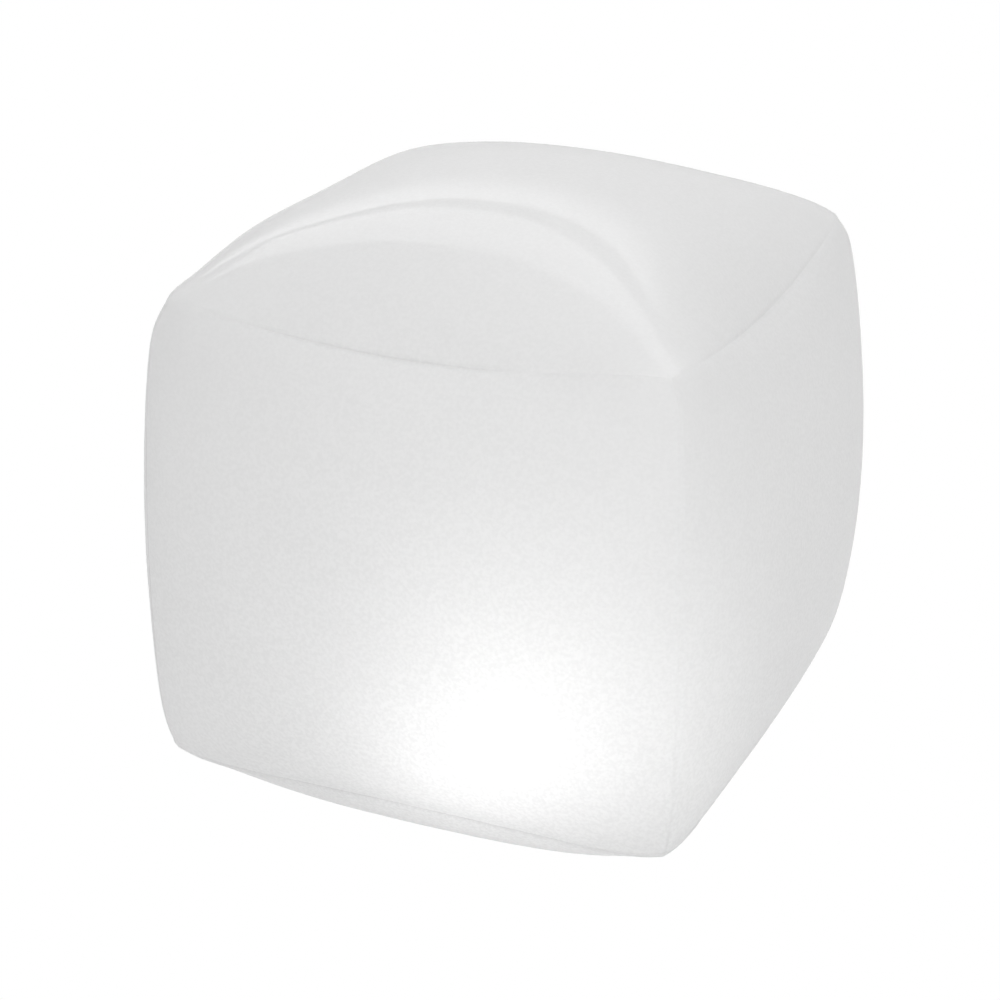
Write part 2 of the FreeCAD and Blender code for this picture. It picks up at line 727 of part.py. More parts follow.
# ---------------------------------------------------- socket ring and lamp

def make_socket_ring():
    body = new_body("socket_ring")
    base = turned(body, "Ring", [
        ("rim_pocket_radius", "0"),
        ("ring_flange_radius", "0"),
        ("ring_flange_radius", "ring_flange_thickness"),
        ("ring_outer_radius", "ring_flange_thickness"),
        ("ring_outer_radius", "ring_top"),
        ("ring_bore_radius", "ring_top"),
        ("ring_bore_radius", "groove_top"),
        ("groove_radius", "groove_top"),
        ("groove_radius", "groove_bottom"),
        ("ring_bore_radius", "groove_bottom"),
        ("ring_bore_radius", "rim_top"),
        ("rim_pocket_radius", "rim_top"),
    ])
    rounded(body, base, "ring_lip_round", [("ring_outer_radius", "ring_top"),
                                           ("ring_bore_radius", "ring_top")])


def add_housing_walls(body, well):
    cylinder(body, "WellWall", "well_radius + well_wall", "foot_recess", "well_top", well)
    cylinder(body, "RecessBoss", "recess_boss_radius", "foot_recess", "recess_boss_top", well)
    cylinder(body, "ButtonGuide", "guide_radius", "foot_recess", "guide_top", "button_offset")
    for index, angle in enumerate(post_angles()):
        across, back = polar("post_circle", angle)
        cylinder(body, "Post%d" % index, "post_radius", "foot_recess", "housing_top",
                 across, back)
    for index, angle in enumerate(pillar_angles()):
        across, back = polar("pillar_circle_radius", angle)
        cylinder(body, "Pillar%d" % index, "pillar_radius", "well_top - well_ceiling / 2",
                 "board_bottom", across, back)


def cut_housing_openings(body, well):
    cylinder(body, "Well", "well_radius", "0", "well_top_inside", well, cut=True)
    cylinder(body, "CoverRecess", "recess_radius", "0", "seal_top", well, cut=True)
    cylinder(body, "ButtonBore", "guide_bore_radius", "0", "guide_bore_top", "button_offset",
             cut=True)
    cylinder(body, "StemBore", "stem_bore_radius", "0", "housing_top", "button_offset",
             cut=True)
    for index, angle in enumerate(post_angles()):
        across, back = polar("post_circle", angle)
        cylinder(body, "ScrewBore%d" % index, "screw_radius + screw_clearance", "0",
                 "dome_seat", across, back, cut=True)
        cylinder(body, "HeadRecess%d" % index, "screw_head_radius + screw_clearance", "0",
                 "head_top", across, back, cut=True)
    for index, angle in enumerate(pillar_angles()):
        across, back = polar("pillar_circle_radius", angle)
        cylinder(body, "Pilot%d" % index, "screw_radius", "board_bottom - board_screw_bite",
                 "board_bottom", across, back, cut=True)
    for name, way in (("TabSlotBack", 1), ("TabSlotFront", -1)):
        across, back = tab_corner(way)
        box(body, name,
            ("tab_width + 2 * tab_clearance", "contact_thickness + 2 * tab_clearance",
             "well_ceiling + 2 * tab_clearance"),
            (across + " - well_offset - tab_clearance", back + " - tab_clearance",
             "well_top_inside - tab_clearance"), cut=True)


def make_housing():
    body = new_body("module_housing")
    turned(body, "Cup", [
        ("0", "foot_recess"),
        ("rim_radius", "foot_recess"),
        ("rim_radius", "rim_top"),
        ("housing_radius", "rim_top"),
        ("housing_radius", "bead_low"),
        ("bead_radius", "bead_low + bead_clearance"),
        ("bead_radius", "bead_high - bead_clearance"),
        ("housing_radius", "bead_high"),
        ("housing_radius", "housing_top"),
        ("housing_inner_radius", "housing_top"),
        ("housing_inner_radius", "floor_top"),
        ("0", "floor_top"),
    ])
    add_housing_walls(body, "-1 * well_offset")
    cut_housing_openings(body, "-1 * well_offset")


def make_cover():
    body = new_body("battery_cover")
    turned(body, "Cover", [
        ("0", "cover_bottom"),
        ("cover_radius", "cover_bottom"),
        ("cover_radius", "cover_top"),
        ("skirt_radius", "cover_top"),
        ("skirt_radius", "skirt_top"),
        ("skirt_inner_radius", "skirt_top"),
        ("skirt_inner_radius", "cover_top"),
        ("0", "cover_top"),
    ])
    for name, way in (("BackRib", "1"), ("FrontRib", "-1")):
        box(body, name, ("cover_rib_length", "cover_rib_width", "cell_lift - cell_clearance"),
            ("-1 * cover_rib_length / 2",
             "%s * cover_rib_spacing / 2 - cover_rib_width / 2" % way, "cover_top"))
    box(body, "CoinSlot", ("coin_slot_length", "coin_slot_width", "coin_slot_depth"),
        ("-1 * coin_slot_length / 2", "-1 * coin_slot_width / 2", "cover_bottom"), cut=True)
    bind(body, "Placement.Base.x", "-1 * well_offset")

    seal = new_body("cover_seal")
    turned(seal, "Seal", [
        ("skirt_radius + seal_margin", "cover_top"),
        ("cover_radius - seal_margin", "cover_top"),
        ("cover_radius - seal_margin", "seal_top"),
        ("skirt_radius + seal_margin", "seal_top"),
    ])
    bind(seal, "Placement.Base.x", "-1 * well_offset")


# ------------------------------------------------- cells, tray and contacts

def cell_steps():
    """Each cell's steps from the middle one, and +1 or -1 for the way its tip points."""
    cells = count("cell_count")
    return [(index - (cells - 1) / 2.0, 1 if index % 2 == 0 else -1) for index in range(cells)]


def make_cells():
    for index, (step, way) in enumerate(cell_steps(), start=1):
        body = new_body("battery_%d" % index)
        turned(body, "Cell", [
            ("0", "0"),
            ("cell_radius", "0"),
            ("cell_radius", "cell_length - cell_tip_length"),
            ("cell_tip_radius", "cell_length - cell_tip_length"),
            ("cell_tip_radius", "cell_length"),
            ("0", "cell_length"),
        ])
        body.Placement.Rotation = FreeCAD.Rotation(FreeCAD.Vector(1, 0, 0), -90 * way)
        bind(body, "Placement.Base.x", "%g * cell_spacing - well_offset" % step)
        bind(body, "Placement.Base.y", "%d * cell_length / 2" % -way)
        bind(body, "Placement.Base.z", "cell_axis")


def tab_corner(way):
    """Lowest corner, from the well's axis, of the tab at the back (+1) or the front (-1)."""
    cells = count("cell_count")
    step = (cells - 1) / 2.0
    across = "%g * cell_spacing - tab_width / 2" % (-step * way)
    if way > 0:
        return across, "tray_half_length - contact_thickness"
    return across, "0 - tray_half_length"


def make_tray():
    body = new_body("battery_tray")
    cylinder(body, "Plate", "well_radius - tray_clearance", "tray_plate_bottom", "tray_top")
    size = ("tray_wall_width", "tray_thickness", "tray_top - tray_bottom")
    left = "-1 * tray_wall_width / 2"
    box(body, "BackWall", size, (left, "tray_half_length", "tray_bottom"))
    box(body, "FrontWall", size, (left, "0 - tray_half_length - tray_thickness", "tray_bottom"))
    for name, way in (("TabSlotBack", 1), ("TabSlotFront", -1)):
        across, back = tab_corner(way)
        box(body, name,
            ("tab_width + 2 * tab_clearance", "contact_thickness + 2 * tab_clearance",
             "tray_top - tray_bottom"),
            (across + " - tab_clearance", back + " - tab_clearance", "tray_bottom"), cut=True)
    bind(body, "Placement.Base.x", "-1 * well_offset")


def contact_pairs():
    """The contact plates: the way of the end they are at and the cells that each joins."""
    cells = count("cell_count")
    plates = [(1, [0]), (-1 if cells % 2 else 1, [cells - 1])]
    for first in range(cells - 1):
        plates.append((-1 if first % 2 == 0 else 1, [first, first + 1]))
    return plates


def make_contacts():
    """Plates at both ends of the cells with a bump for each tip and a leaf for each base."""
    steps = cell_steps()
    axis_height = amount("cell_axis")
    thickness = amount("contact_thickness")
    reach = amount("tray_half_length")
    low = amount("tray_bottom")
    high = amount("tray_plate_bottom")
    half = amount("contact_width / 2")
    bump = reach - thickness - amount("cell_length / 2 + contact_gap")
    plates = []
    springs = []
    for way, cells in contact_pairs():
        across = [steps[cell][0] * amount("cell_spacing") - amount("well_offset")
                  for cell in cells]
        width = max(across) - min(across) + 2 * half
        near = reach - thickness if way > 0 else -reach
        plate = Part.makeBox(width, thickness, high - low,
                             FreeCAD.Vector(min(across) - half, near, low))
        if len(cells) == 1:
            tab = Part.makeBox(amount("tab_width"), thickness, amount("board_bottom") - low,
                               FreeCAD.Vector(across[0] - amount("tab_width / 2"), near, low))
            plate = plate.fuse(tab)
        for cell, place in zip(cells, across):
            inner = FreeCAD.Vector(place, way * (reach - thickness), axis_height)
            if steps[cell][1] == way:
                tip = Part.makeCone(amount("contact_bump_radius"),
                                    amount("contact_bump_radius / 2"), bump, inner,
                                    FreeCAD.Vector(0, -way, 0))
                plate = plate.fuse(tip)
            else:
                springs.append(leaf_spring(inner, way, bump))
        plates.append(plate.removeSplitter())
    computed("contact_plates", Part.makeCompound(plates))
    computed("contact_springs", Part.makeCompound(springs))


def leaf_spring(root, way, reach):
    """A folded strip that stands on a plate and meets the base of a cell."""
    thickness = amount("contact_thickness")
    half = amount("spring_width / 2")
    rise = amount("contact_bump_radius")
    profile = [(thickness, 0.0), (-rise, 0.0), (-rise, thickness), (0.0, thickness),
               (rise, reach), (rise + thickness, reach)]
    corners = [root + FreeCAD.Vector(-half, -way * out, up) for up, out in profile]
    wire = Part.makePolygon(corners + corners[:1])
    return Part.Face(wire).extrude(FreeCAD.Vector(2 * half, 0, 0))


# ------------------------------------------------------------ board and LEDs

def make_board():
    body = new_body("circuit_board")
    cylinder(body, "Board", "board_radius", "board_bottom", "board_top")
    for index, angle in enumerate(post_angles()):
        across, back = polar("post_circle", angle)
        cylinder(body, "Notch%d" % index, "post_radius + notch_clearance", "board_bottom",
                 "board_top", across, back, cut=True)
    for index, angle in enumerate(pillar_angles()):
        across, back = polar("pillar_circle_radius", angle)
        cylinder(body, "Hole%d" % index, "screw_radius + screw_clearance", "board_bottom",
                 "board_top", across, back, cut=True)


def make_leds():
    """A square grid of packages, each a block with a round lens on top."""
    side = amount("led_side")
    spacing = amount("led_spacing")
    per_row = count("led_count")
    shift = (per_row - 1) / 2.0
    solids = []
    for column in range(per_row):
        for row in range(per_row):
            centre = FreeCAD.Vector((column - shift) * spacing, (row - shift) * spacing,
                                    amount("board_top"))
            corner = centre - FreeCAD.Vector(side / 2, side / 2, 0)
            package = Part.makeBox(side, side, amount("led_height"), corner)
            lens = Part.makeCone(amount("led_lens_radius"), amount("led_lens_radius / 2"),
                                 amount("led_lens_height"),
                                 centre + FreeCAD.Vector(0, 0, amount("led_height")))
            solids.append(package.fuse(lens))
    computed("leds", Part.makeCompound(solids))


def make_board_parts():
    chip = new_body("control_chip")
    box(chip, "Chip", ("chip_length", "chip_width", "chip_height"),
        ("chip_offset - chip_length / 2", "-1 * chip_width / 2", "board_bottom - chip_height"))
    solids = []
    amount_of = count("resistor_count")
    for index in range(amount_of):
        step = index - (amount_of - 1) / 2.0
        corner = FreeCAD.Vector(-amount("resistor_offset + resistor_length"),
                                step * amount("resistor_spacing") - amount("resistor_width / 2"),
                                amount("board_bottom - resistor_height"))
        solids.append(Part.makeBox(amount("resistor_length"), amount("resistor_width"),
                                   amount("resistor_height"), corner))
    computed("resistors", Part.makeCompound(solids))


# --------------------------------------------------------- switch and button

def make_switch():
    body = new_body("push_switch")
    box(body, "Case", ("switch_side", "switch_side", "switch_height"),
        ("button_offset - switch_side / 2", "-1 * switch_side / 2", "switch_bottom"))
    cylinder(body, "PlungerRoom", "plunger_radius + plunger_clearance", "switch_bottom",
             "plunger_room_top", "button_offset", cut=True)
    plunger = new_body("switch_plunger")
    cylinder(plunger, "Plunger", "plunger_radius", "plunger_bottom", "plunger_top",
             "button_offset")


def make_button():
    body = new_body("power_button")
    turned(body, "Button", [
        ("0", "button_bottom + button_dish"),
        ("button_radius - 2 * button_edge", "button_bottom + button_dish"),
        ("button_radius - button_edge", "button_bottom"),
        ("button_radius", "button_bottom"),
        ("button_radius", "button_shoulder"),
        ("stem_radius", "button_shoulder"),
        ("stem_radius", "plunger_bottom"),
        ("0", "plunger_bottom"),
    ])
    bind(body, "Placement.Base.x", "button_offset")
    seal = new_body("button_seal")
    turned(seal, "Seal", [
        ("stem_bore_radius", "guide_top"),
        ("guide_radius", "guide_top"),
        ("stem_bore_radius + button_edge", "button_seal_top"),
        ("stem_bore_radius", "button_seal_top"),
    ])
    bind(seal, "Placement.Base.x", "button_offset")


# ---------------------------------------------- reflector, dome and screws

def make_reflector():
    body = new_body("reflector")
    turned(body, "Dish", [
        ("reflector_inner_radius", "board_top"),
        ("reflector_inner_radius + reflector_thickness", "board_top"),
        ("reflector_outer_radius", "board_top + reflector_rise"),
        ("reflector_outer_radius", "board_top + reflector_rise + reflector_thickness"),
        ("reflector_inner_radius", "board_top + reflector_thickness"),
    ])


def make_dome():
    gasket = new_body("dome_seal")
    turned(gasket, "Gasket", [
        ("housing_inner_radius", "housing_top"),
        ("housing_radius - dome_seal_margin", "housing_top"),
        ("housing_radius - dome_seal_margin", "dome_seat"),
        ("housing_inner_radius", "dome_seat"),
    ])
    body = new_body("light_dome")
    turned(body, "Dome", [
        ("dome_rim_inner", "dome_seat"),
        ("housing_radius", "dome_seat"),
        ("housing_radius", "dome_rim_top"),
        ("dome_radius", "dome_rim_top", "arc"),
        ("0", "dome_top"),
        ("0", "dome_top - dome_wall", "arc"),
        ("dome_rim_inner", "dome_rim_top"),
    ])
    for index, angle in enumerate(post_angles()):
        across, back = polar("post_circle", angle)
        cylinder(body, "Pilot%d" % index, "screw_radius", "dome_seat", "screw_top",
                 across, back, cut=True)


def screw(name, place, head_low, head_high, head_radius, tip):
    """One screw as two fused cylinders: head, then shank up or down to its tip."""
    members = []
    low, high = (head_low, tip) if amount(tip) > amount(head_high) else (tip, head_high)
    for part, radius, bottom, top in (("Head", head_radius, head_low, head_high),
                                      ("Shank", "screw_radius", low, high)):
        member = doc.addObject("Part::Cylinder", name + part)
        bind(member, "Radius", radius)
        member.setExpression("Height", "%s - (%s)" % (spelled_out(top), spelled_out(bottom)))
        bind(member, "Placement.Base.x", place[0])
        bind(member, "Placement.Base.y", place[1])
        bind(member, "Placement.Base.z", bottom)
        members.append(member)
    whole = doc.addObject("Part::Fuse", name)
    whole.Base, whole.Tool = members
    return whole


def make_screws():
    long_ones = []
    for index, angle in enumerate(post_angles()):
        long_ones.append(screw("LongScrew%d" % index, polar("post_circle", angle), "head_bottom",
                               "head_top", "screw_head_radius", "screw_top"))
    short_ones = []
    for index, angle in enumerate(pillar_angles()):
        short_ones.append(screw("ShortScrew%d" % index, polar("pillar_circle_radius", angle),
                                "board_top", "board_top + screw_head_height / 2",
                                "screw_head_radius", "board_bottom - board_screw_bite"))
    for label, screws in (("housing_screws", long_ones), ("board_screws", short_ones)):
        group = doc.addObject("Part::Compound", label)
        group.Label = label
        group.Links = screws
        made_parts.append(group)


# ------------------------------------------------------------------- valve

def find_valve_place():
    """On the back panel: the film's outer face, with Z pointing out and X level."""
    surface = patch(GRIDS["back_panel"])
    start = FreeCAD.Vector(-amount("valve_side"), 0, amount("valve_level"))
    line = Part.Line(start, start + FreeCAD.Vector(0, 1, 0))
    hits, unused = line.intersectCS(surface)
    spot = FreeCAD.Vector(hits[0].X, hits[0].Y, hits[0].Z)
    u, v = surface.parameter(spot)
    outwards = surface.normal(u, v)
    if outwards.y < 0:
        outwards = outwards * -1.0
    level = FreeCAD.Vector(0, 0, 1).cross(outwards)
    upwards = outwards.cross(level)
    return FreeCAD.Placement(spot, FreeCAD.Rotation(level, upwards, outwards, "ZXY"))


def make_valve_base(place):
    """A weld flange that follows the film's inner face, with a collar behind it."""
    depth = amount("film_thickness")
    reach = amount("valve_flange_radius")
    layer = film(GRIDS["back_panel"], depth, depth + amount("valve_flange_thickness"))
    disc = Part.makeCylinder(reach, 2 * reach, FreeCAD.Vector(0, 0, -reach))
    disc.Placement = place
    flange = layer.common(disc)
    low = amount("valve_collar_bottom")
    collar_length = amount("valve_flange_bottom") + amount("valve_flange_thickness / 2") - low
    collar = Part.makeCylinder(amount("valve_collar_radius"), collar_length,
                               FreeCAD.Vector(0, 0, low))
    bore = Part.makeCylinder(amount("valve_collar_bore"), 4 * reach,
                             FreeCAD.Vector(0, 0, -2 * reach))
    collar.Placement = place
    bore.Placement = place
    base = flange.fuse(collar).cut(bore).removeSplitter()
    computed("valve_base", base.Solids[0])


def valve_body(label, place):
    body = new_body(label)
    body.Placement = place
    return body


def make_valve_stem(place):
    body = valve_body("valve_stem", place)
    turned(body, "Stem", [
        ("valve_bore_radius", "valve_stem_bottom"),
        ("valve_stem_radius + valve_stop_width", "valve_stem_bottom"),
        ("valve_stem_radius + valve_stop_width", "valve_stop_top"),
        ("valve_stem_radius", "valve_stop_top"),
        ("valve_stem_radius", "valve_lip_gap"),
        ("valve_lip_radius", "valve_lip_gap"),
        ("valve_lip_radius", "valve_lip_top"),
        ("valve_bore_radius", "valve_lip_top"),
    ])
    box(body, "StrapAnchor", ("strap_anchor_length", "strap_width", "strap_anchor_height"),
        ("0 - valve_lip_radius", "-1 * strap_width / 2", "valve_lip_top"))


def make_valve_plug(place):
    body = valve_body("valve_plug", place)
    turned(body, "Plug", [
        ("0", "plug_bottom - plug_spigot_length"),
        ("valve_bore_radius - plug_tip_clearance", "plug_bottom - plug_spigot_length"),
        ("valve_bore_radius - plug_root_clearance", "plug_bottom"),
        ("plug_cap_radius", "plug_bottom"),
        ("plug_cap_radius", "plug_top"),
        ("0", "plug_top"),
    ])
    box(body, "Strap", ("strap_pivot - strap_gap", "strap_width", "strap_thickness"),
        ("strap_gap - strap_pivot", "-1 * strap_width / 2", "plug_bottom"))
    box(body, "PullTab", ("plug_cap_radius + tab_overhang", "strap_width", "strap_thickness"),
        ("0", "-1 * strap_width / 2", "plug_bottom"))


def make_valve_flap(place):
    body = valve_body("valve_flap", place)
    cylinder(body, "Flap", "flap_radius", "flap_bottom", "flap_top")


# ------------------------------------------------------------------ making

def build_model():
    valve_place = find_valve_place()
    make_panels(valve_place)
    make_socket_ring()
    make_housing()
    make_cover()
    make_cells()
    make_tray()
    make_contacts()
    make_board()
    make_leds()
    make_board_parts()
    make_switch()
    make_button()
    make_reflector()
    make_dome()
    make_screws()
    make_valve_base(valve_place)
    make_valve_stem(valve_place)
    make_valve_plug(valve_place)
    make_valve_flap(valve_place)


def check_model():
    """Every object is free of errors and every sub-part holds sound solids."""
    for member in doc.Objects:
        faults = [state for state in member.State if state in ("Invalid", "Error")]
        if faults:
            raise RuntimeError("%s: %s" % (member.Label, ", ".join(faults)))
    for part in made_parts:
        shape = part.Shape
        if shape.isNull() or not shape.isValid() or not shape.Solids:
            raise RuntimeError("%s has no sound shape" % part.Label)


def write_parts():
    os.makedirs("parts", exist_ok=True)
    for part in made_parts:
        part.Shape.exportStep("parts/%s.step" % part.Label)
        print("%-18s %d solid(s) %10.1f mm3" % (part.Label, len(part.Shape.Solids),
                                               part.Shape.Volume))


build_model()
doc.recompute()
check_model()
write_parts()
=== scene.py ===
import json
import math

import bpy
import numpy as np
from mathutils import Matrix, Vector


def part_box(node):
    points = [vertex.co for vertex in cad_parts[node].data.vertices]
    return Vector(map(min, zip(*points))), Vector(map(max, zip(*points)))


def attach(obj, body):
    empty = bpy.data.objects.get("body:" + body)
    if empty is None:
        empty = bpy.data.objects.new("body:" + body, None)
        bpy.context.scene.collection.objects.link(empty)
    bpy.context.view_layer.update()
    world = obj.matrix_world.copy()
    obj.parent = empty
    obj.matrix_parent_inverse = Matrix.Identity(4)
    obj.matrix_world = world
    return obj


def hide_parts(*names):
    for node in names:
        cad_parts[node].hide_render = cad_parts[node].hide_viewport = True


# An inflatable cube of frosted film with a battery lamp in its bottom, lit, on a
# pale floor. Metres, in the frame of the CAD: +Z up, the front panel faces -Y.

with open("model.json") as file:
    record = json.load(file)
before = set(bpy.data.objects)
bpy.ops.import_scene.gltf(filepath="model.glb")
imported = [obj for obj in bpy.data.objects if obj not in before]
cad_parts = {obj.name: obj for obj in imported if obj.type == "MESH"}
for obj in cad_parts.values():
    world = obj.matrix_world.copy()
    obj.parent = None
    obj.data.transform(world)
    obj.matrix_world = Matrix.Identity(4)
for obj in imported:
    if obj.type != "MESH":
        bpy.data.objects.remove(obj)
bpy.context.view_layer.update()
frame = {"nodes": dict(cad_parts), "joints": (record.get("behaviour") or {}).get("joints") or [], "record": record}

MM = 0.001

# ------------------------------------------------------------------- camera

IMAGE_SIDE = 1000.0                  # pixels
FOCAL_PIXELS = 2560.4
SENSOR_WIDTH = 36.0                  # millimetres
CLIP_NEAR, CLIP_FAR = 0.01, 100.0
CAMERA_AZIMUTH = math.radians(23.07)
CAMERA_ELEVATION = math.radians(24.07)
CAMERA_ROLL = math.radians(0.16)
CAMERA_DISTANCE = 0.9217
AIM_HEIGHT = 0.1052                  # the point looked at, before the shift below
AIM_RIGHT = -0.0060
AIM_UP = -0.0054


def place_camera():
    """A camera where the photograph's stood, fitted to the cube's outline and seams."""
    azimuth, elevation = CAMERA_AZIMUTH, CAMERA_ELEVATION
    back = Vector((math.sin(azimuth) * math.cos(elevation),
                   -math.cos(azimuth) * math.cos(elevation), math.sin(elevation)))
    level = Vector((math.cos(azimuth), math.sin(azimuth), 0))
    upward = back.cross(level)
    right = level * math.cos(CAMERA_ROLL) + upward * math.sin(CAMERA_ROLL)
    up = upward * math.cos(CAMERA_ROLL) - level * math.sin(CAMERA_ROLL)
    data = bpy.data.cameras.new("camera")
    data.sensor_width = SENSOR_WIDTH
    data.lens = FOCAL_PIXELS / IMAGE_SIDE * SENSOR_WIDTH
    data.clip_start, data.clip_end = CLIP_NEAR, CLIP_FAR
    camera = bpy.data.objects.new("camera", data)
    bpy.context.scene.collection.objects.link(camera)
    place = (Vector((0, 0, AIM_HEIGHT)) + right * AIM_RIGHT + up * AIM_UP
             + back * CAMERA_DISTANCE)
    axes = Matrix((right, up, back)).transposed().to_4x4()
    camera.matrix_world = Matrix.Translation(place) @ axes
    bpy.context.scene.camera = camera


# --------------------------------------------------- the shape of the panels

CUBE_WIDTH = 230.0 * MM              # across two side panels at their fullest
CUBE_HEIGHT = 224.0 * MM             # foot to crown
FILM_BOTTOM = 1.4 * MM               # level of the bottom panel's flat
CUBE_MIDDLE = (0, 0, (CUBE_HEIGHT + FILM_BOTTOM) / 2)
TOP_CORNER_REACH = 92.0 * MM         # from the middle planes to a top corner
TOP_CORNER_LEVEL = CUBE_HEIGHT - 28.5 * MM
LOW_CORNER_REACH = 94.5 * MM
LOW_CORNER_LEVEL = FILM_BOTTOM + 20.0 * MM
CORNER_BLUNTING = 2.5 * MM
TOP_SEAM_PULL = 1.0 * MM             # drawn in between corners
TOP_SEAM_SAG = 11.0 * MM             # dips between corners
LOW_SEAM_PULL = 2.5 * MM
LOW_SEAM_RISE = 0.5 * MM
SIDE_SEAM_BULGE = 3.5 * MM
SHOULDER = 0.86                      # pole stations, as shares of the half span
MIDDLE = 0.50
SIDE_CROWN = (0.43, 0.88)            # shares of the crown at those two stations
TOP_CROWN = (0.46, 0.90)
FLAT_REACH = 52.65 * MM              # half of the bottom panel's flat
FLAT_LIFTS = {                       # lifts of its poles, by their steps from the middle one
    (2, 2): 13.0 * MM,
    (1, 2): 1.5 * MM,
}

# The panels are cubic splines on evenly spaced knots.
POLES = 7
SPANS = 4.0
DEGREE = 3
KNOTS = np.array([0, 0, 0, 0, 1, 2, 3, 4, 4, 4, 4], float)
AT_FIRST_KNOT = (1 / 4, 7 / 12)      # weights of the second and third pole one span in
AT_MIDDLE = np.array([0, 0, 1, 4, 1, 0, 0]) / 6

STATIONS = np.array([-1, -SHOULDER, -MIDDLE, 0, MIDDLE, SHOULDER, 1])
BOW = 1 - STATIONS ** 2
RISE = (STATIONS + 1) / 2


def level_seam(reach, level, pull, sag, upward):
    """Poles of the seam along the front, left to right."""
    poles = np.stack([reach * STATIONS, -(reach - pull * BOW), level - sag * BOW], axis=-1)
    poles[0] += np.array([1, 1, -upward]) * CORNER_BLUNTING
    poles[-1] += np.array([-1, 1, -upward]) * CORNER_BLUNTING
    return poles


def upright_seam(bottom, top):
    """Poles of the seam at the front right, bottom to top."""
    reach = (LOW_CORNER_REACH + (TOP_CORNER_REACH - LOW_CORNER_REACH) * RISE
             + SIDE_SEAM_BULGE * BOW)
    level = LOW_CORNER_LEVEL + (TOP_CORNER_LEVEL - LOW_CORNER_LEVEL) * RISE
    poles = np.stack([reach, -reach, level], axis=-1)
    poles[0], poles[-1] = bottom[-1], top[-1]
    return poles


def quarter_turns(points, turns):
    """The points turned about the cube's upright axis."""
    quarter = np.array([[0, -1, 0], [1, 0, 0], [0, 0, 1]], float)
    return points @ np.linalg.matrix_power(quarter, turns % 4).T


def filled(low, high, left, right):
    """Poles of the patch that four seams span."""
    a, u = RISE[:, None, None], RISE[None, :, None]
    corners = (low[0] * ((1 - a) * (1 - u)) + low[-1] * (a * (1 - u))
               + high[0] * ((1 - a) * u) + high[-1] * (a * u))
    return (low[:, None] * (1 - u) + high[:, None] * u
            + left[None] * (1 - a) + right[None] * a - corners)


def swelled(grid, crown, direction, reach):
    """The grid pushed out until its middle has the given reach."""
    near, next_in = crown
    inmost = (1 - AT_MIDDLE[2] * next_in - AT_MIDDLE[4] * next_in) / AT_MIDDLE[3]
    rows = np.array([0, near, next_in, inmost, next_in, near, 0])
    direction = np.array(direction, float)
    middle = np.einsum("i,j,ijk->k", AT_MIDDLE, AT_MIDDLE, grid)
    push = reach - middle @ direction
    return grid + direction * (push * np.outer(rows, rows)[..., None])


def flattened(grid):
    """The bottom's grid with its inner poles laid on one level, but for the lifts."""
    flat = (FLAT_REACH / LOW_CORNER_REACH - AT_FIRST_KNOT[0] * SHOULDER) / AT_FIRST_KNOT[1]
    spots = LOW_CORNER_REACH * np.array([-1, -SHOULDER, -flat, 0, flat, SHOULDER, 1])
    for i in range(1, POLES - 1):
        for j in range(1, POLES - 1):
            steps = sorted((abs(i - POLES // 2), abs(j - POLES // 2)))
            grid[i, j] = [spots[i], spots[j], FILM_BOTTOM + FLAT_LIFTS.get(tuple(steps), 0)]
    return grid


def panel_grids():
    """Poles of the outer face of each panel, by CAD node."""
    top = level_seam(TOP_CORNER_REACH, TOP_CORNER_LEVEL, TOP_SEAM_PULL, TOP_SEAM_SAG, 1)
    bottom = level_seam(LOW_CORNER_REACH, LOW_CORNER_LEVEL, LOW_SEAM_PULL, -LOW_SEAM_RISE, -1)
    right = upright_seam(bottom, top)
    side = filled(bottom, top, right * [-1, 1, 1], right)
    side = swelled(side, SIDE_CROWN, (0, -1, 0), CUBE_WIDTH / 2)
    names = ("front_panel", "right_panel", "back_panel", "left_panel")
    grids = {name: quarter_turns(side, turn) for turn, name in enumerate(names)}

    def around(seam):
        """The patch that a seam and its three turned copies span."""
        return filled(seam, quarter_turns(seam, 2)[::-1], quarter_turns(seam, 3)[::-1],
                      quarter_turns(seam, 1))

    grids["top_panel"] = swelled(around(top), TOP_CROWN, (0, 0, 1), CUBE_HEIGHT)
    grids["bottom_panel"] = flattened(around(bottom))
    return grids


def basis(u):
    """B-spline weights of the poles at the parameters u, one row each."""
    u = np.clip(u, 0, SPANS - 1e-9)[:, None]
    weights = ((KNOTS[:-1] <= u) & (u < KNOTS[1:])).astype(float)
    for degree in range(1, DEGREE + 1):
        left, right = KNOTS[:-degree - 1], KNOTS[degree + 1:]
        span_left = KNOTS[degree:-1] - left
        span_right = right - KNOTS[1:-degree]
        rise = np.where(span_left > 0, (u - left) / np.where(span_left > 0, span_left, 1), 0)
        fall = np.where(span_right > 0, (right - u) / np.where(span_right > 0, span_right, 1), 0)
        weights = rise * weights[:, :-1] + fall * weights[:, 1:]
    return weights


# ------------------------------------------------------------ film geometry

FILM_STEPS = 121                     # points along each side of a panel
CROWDING = 0.72                      # how much closer they lie at the seams
FILM_THICKNESS = 0.5 * MM
FULLER_PLACES = (                    # fuller than an even cube: middle, push and reach in mm
    ((-94, -35, 190), (-3, 0, 3.5), 30),     # the seam at the top left
    ((68, 92, 188), (0, 1.5, 2), 29),        # the right end of the seam at the top back
)
SEAM_DEPTH = 0.32 * MM               # valley along each weld
SEAM_WIDTH = 0.8 * MM
LOW_SEAM_GAIN = 1.5                  # the valleys are deeper near the floor
LOW_SEAM_REACH = 35.0 * MM
STANDING_MIDDLE = (60, -93, 188)     # mm: here the weld of the top front stands up instead
STANDING_REACH = 24.0 * MM
STANDING_HEIGHT = 0.6 * MM
WELD_DARK = 0.12                     # light that the low welds' double film keeps back
WELD_WIDTH = 0.6 * MM
WELD_EDGE = 3.0 * MM                 # inner edge of the weld, a low ridge along the bottom
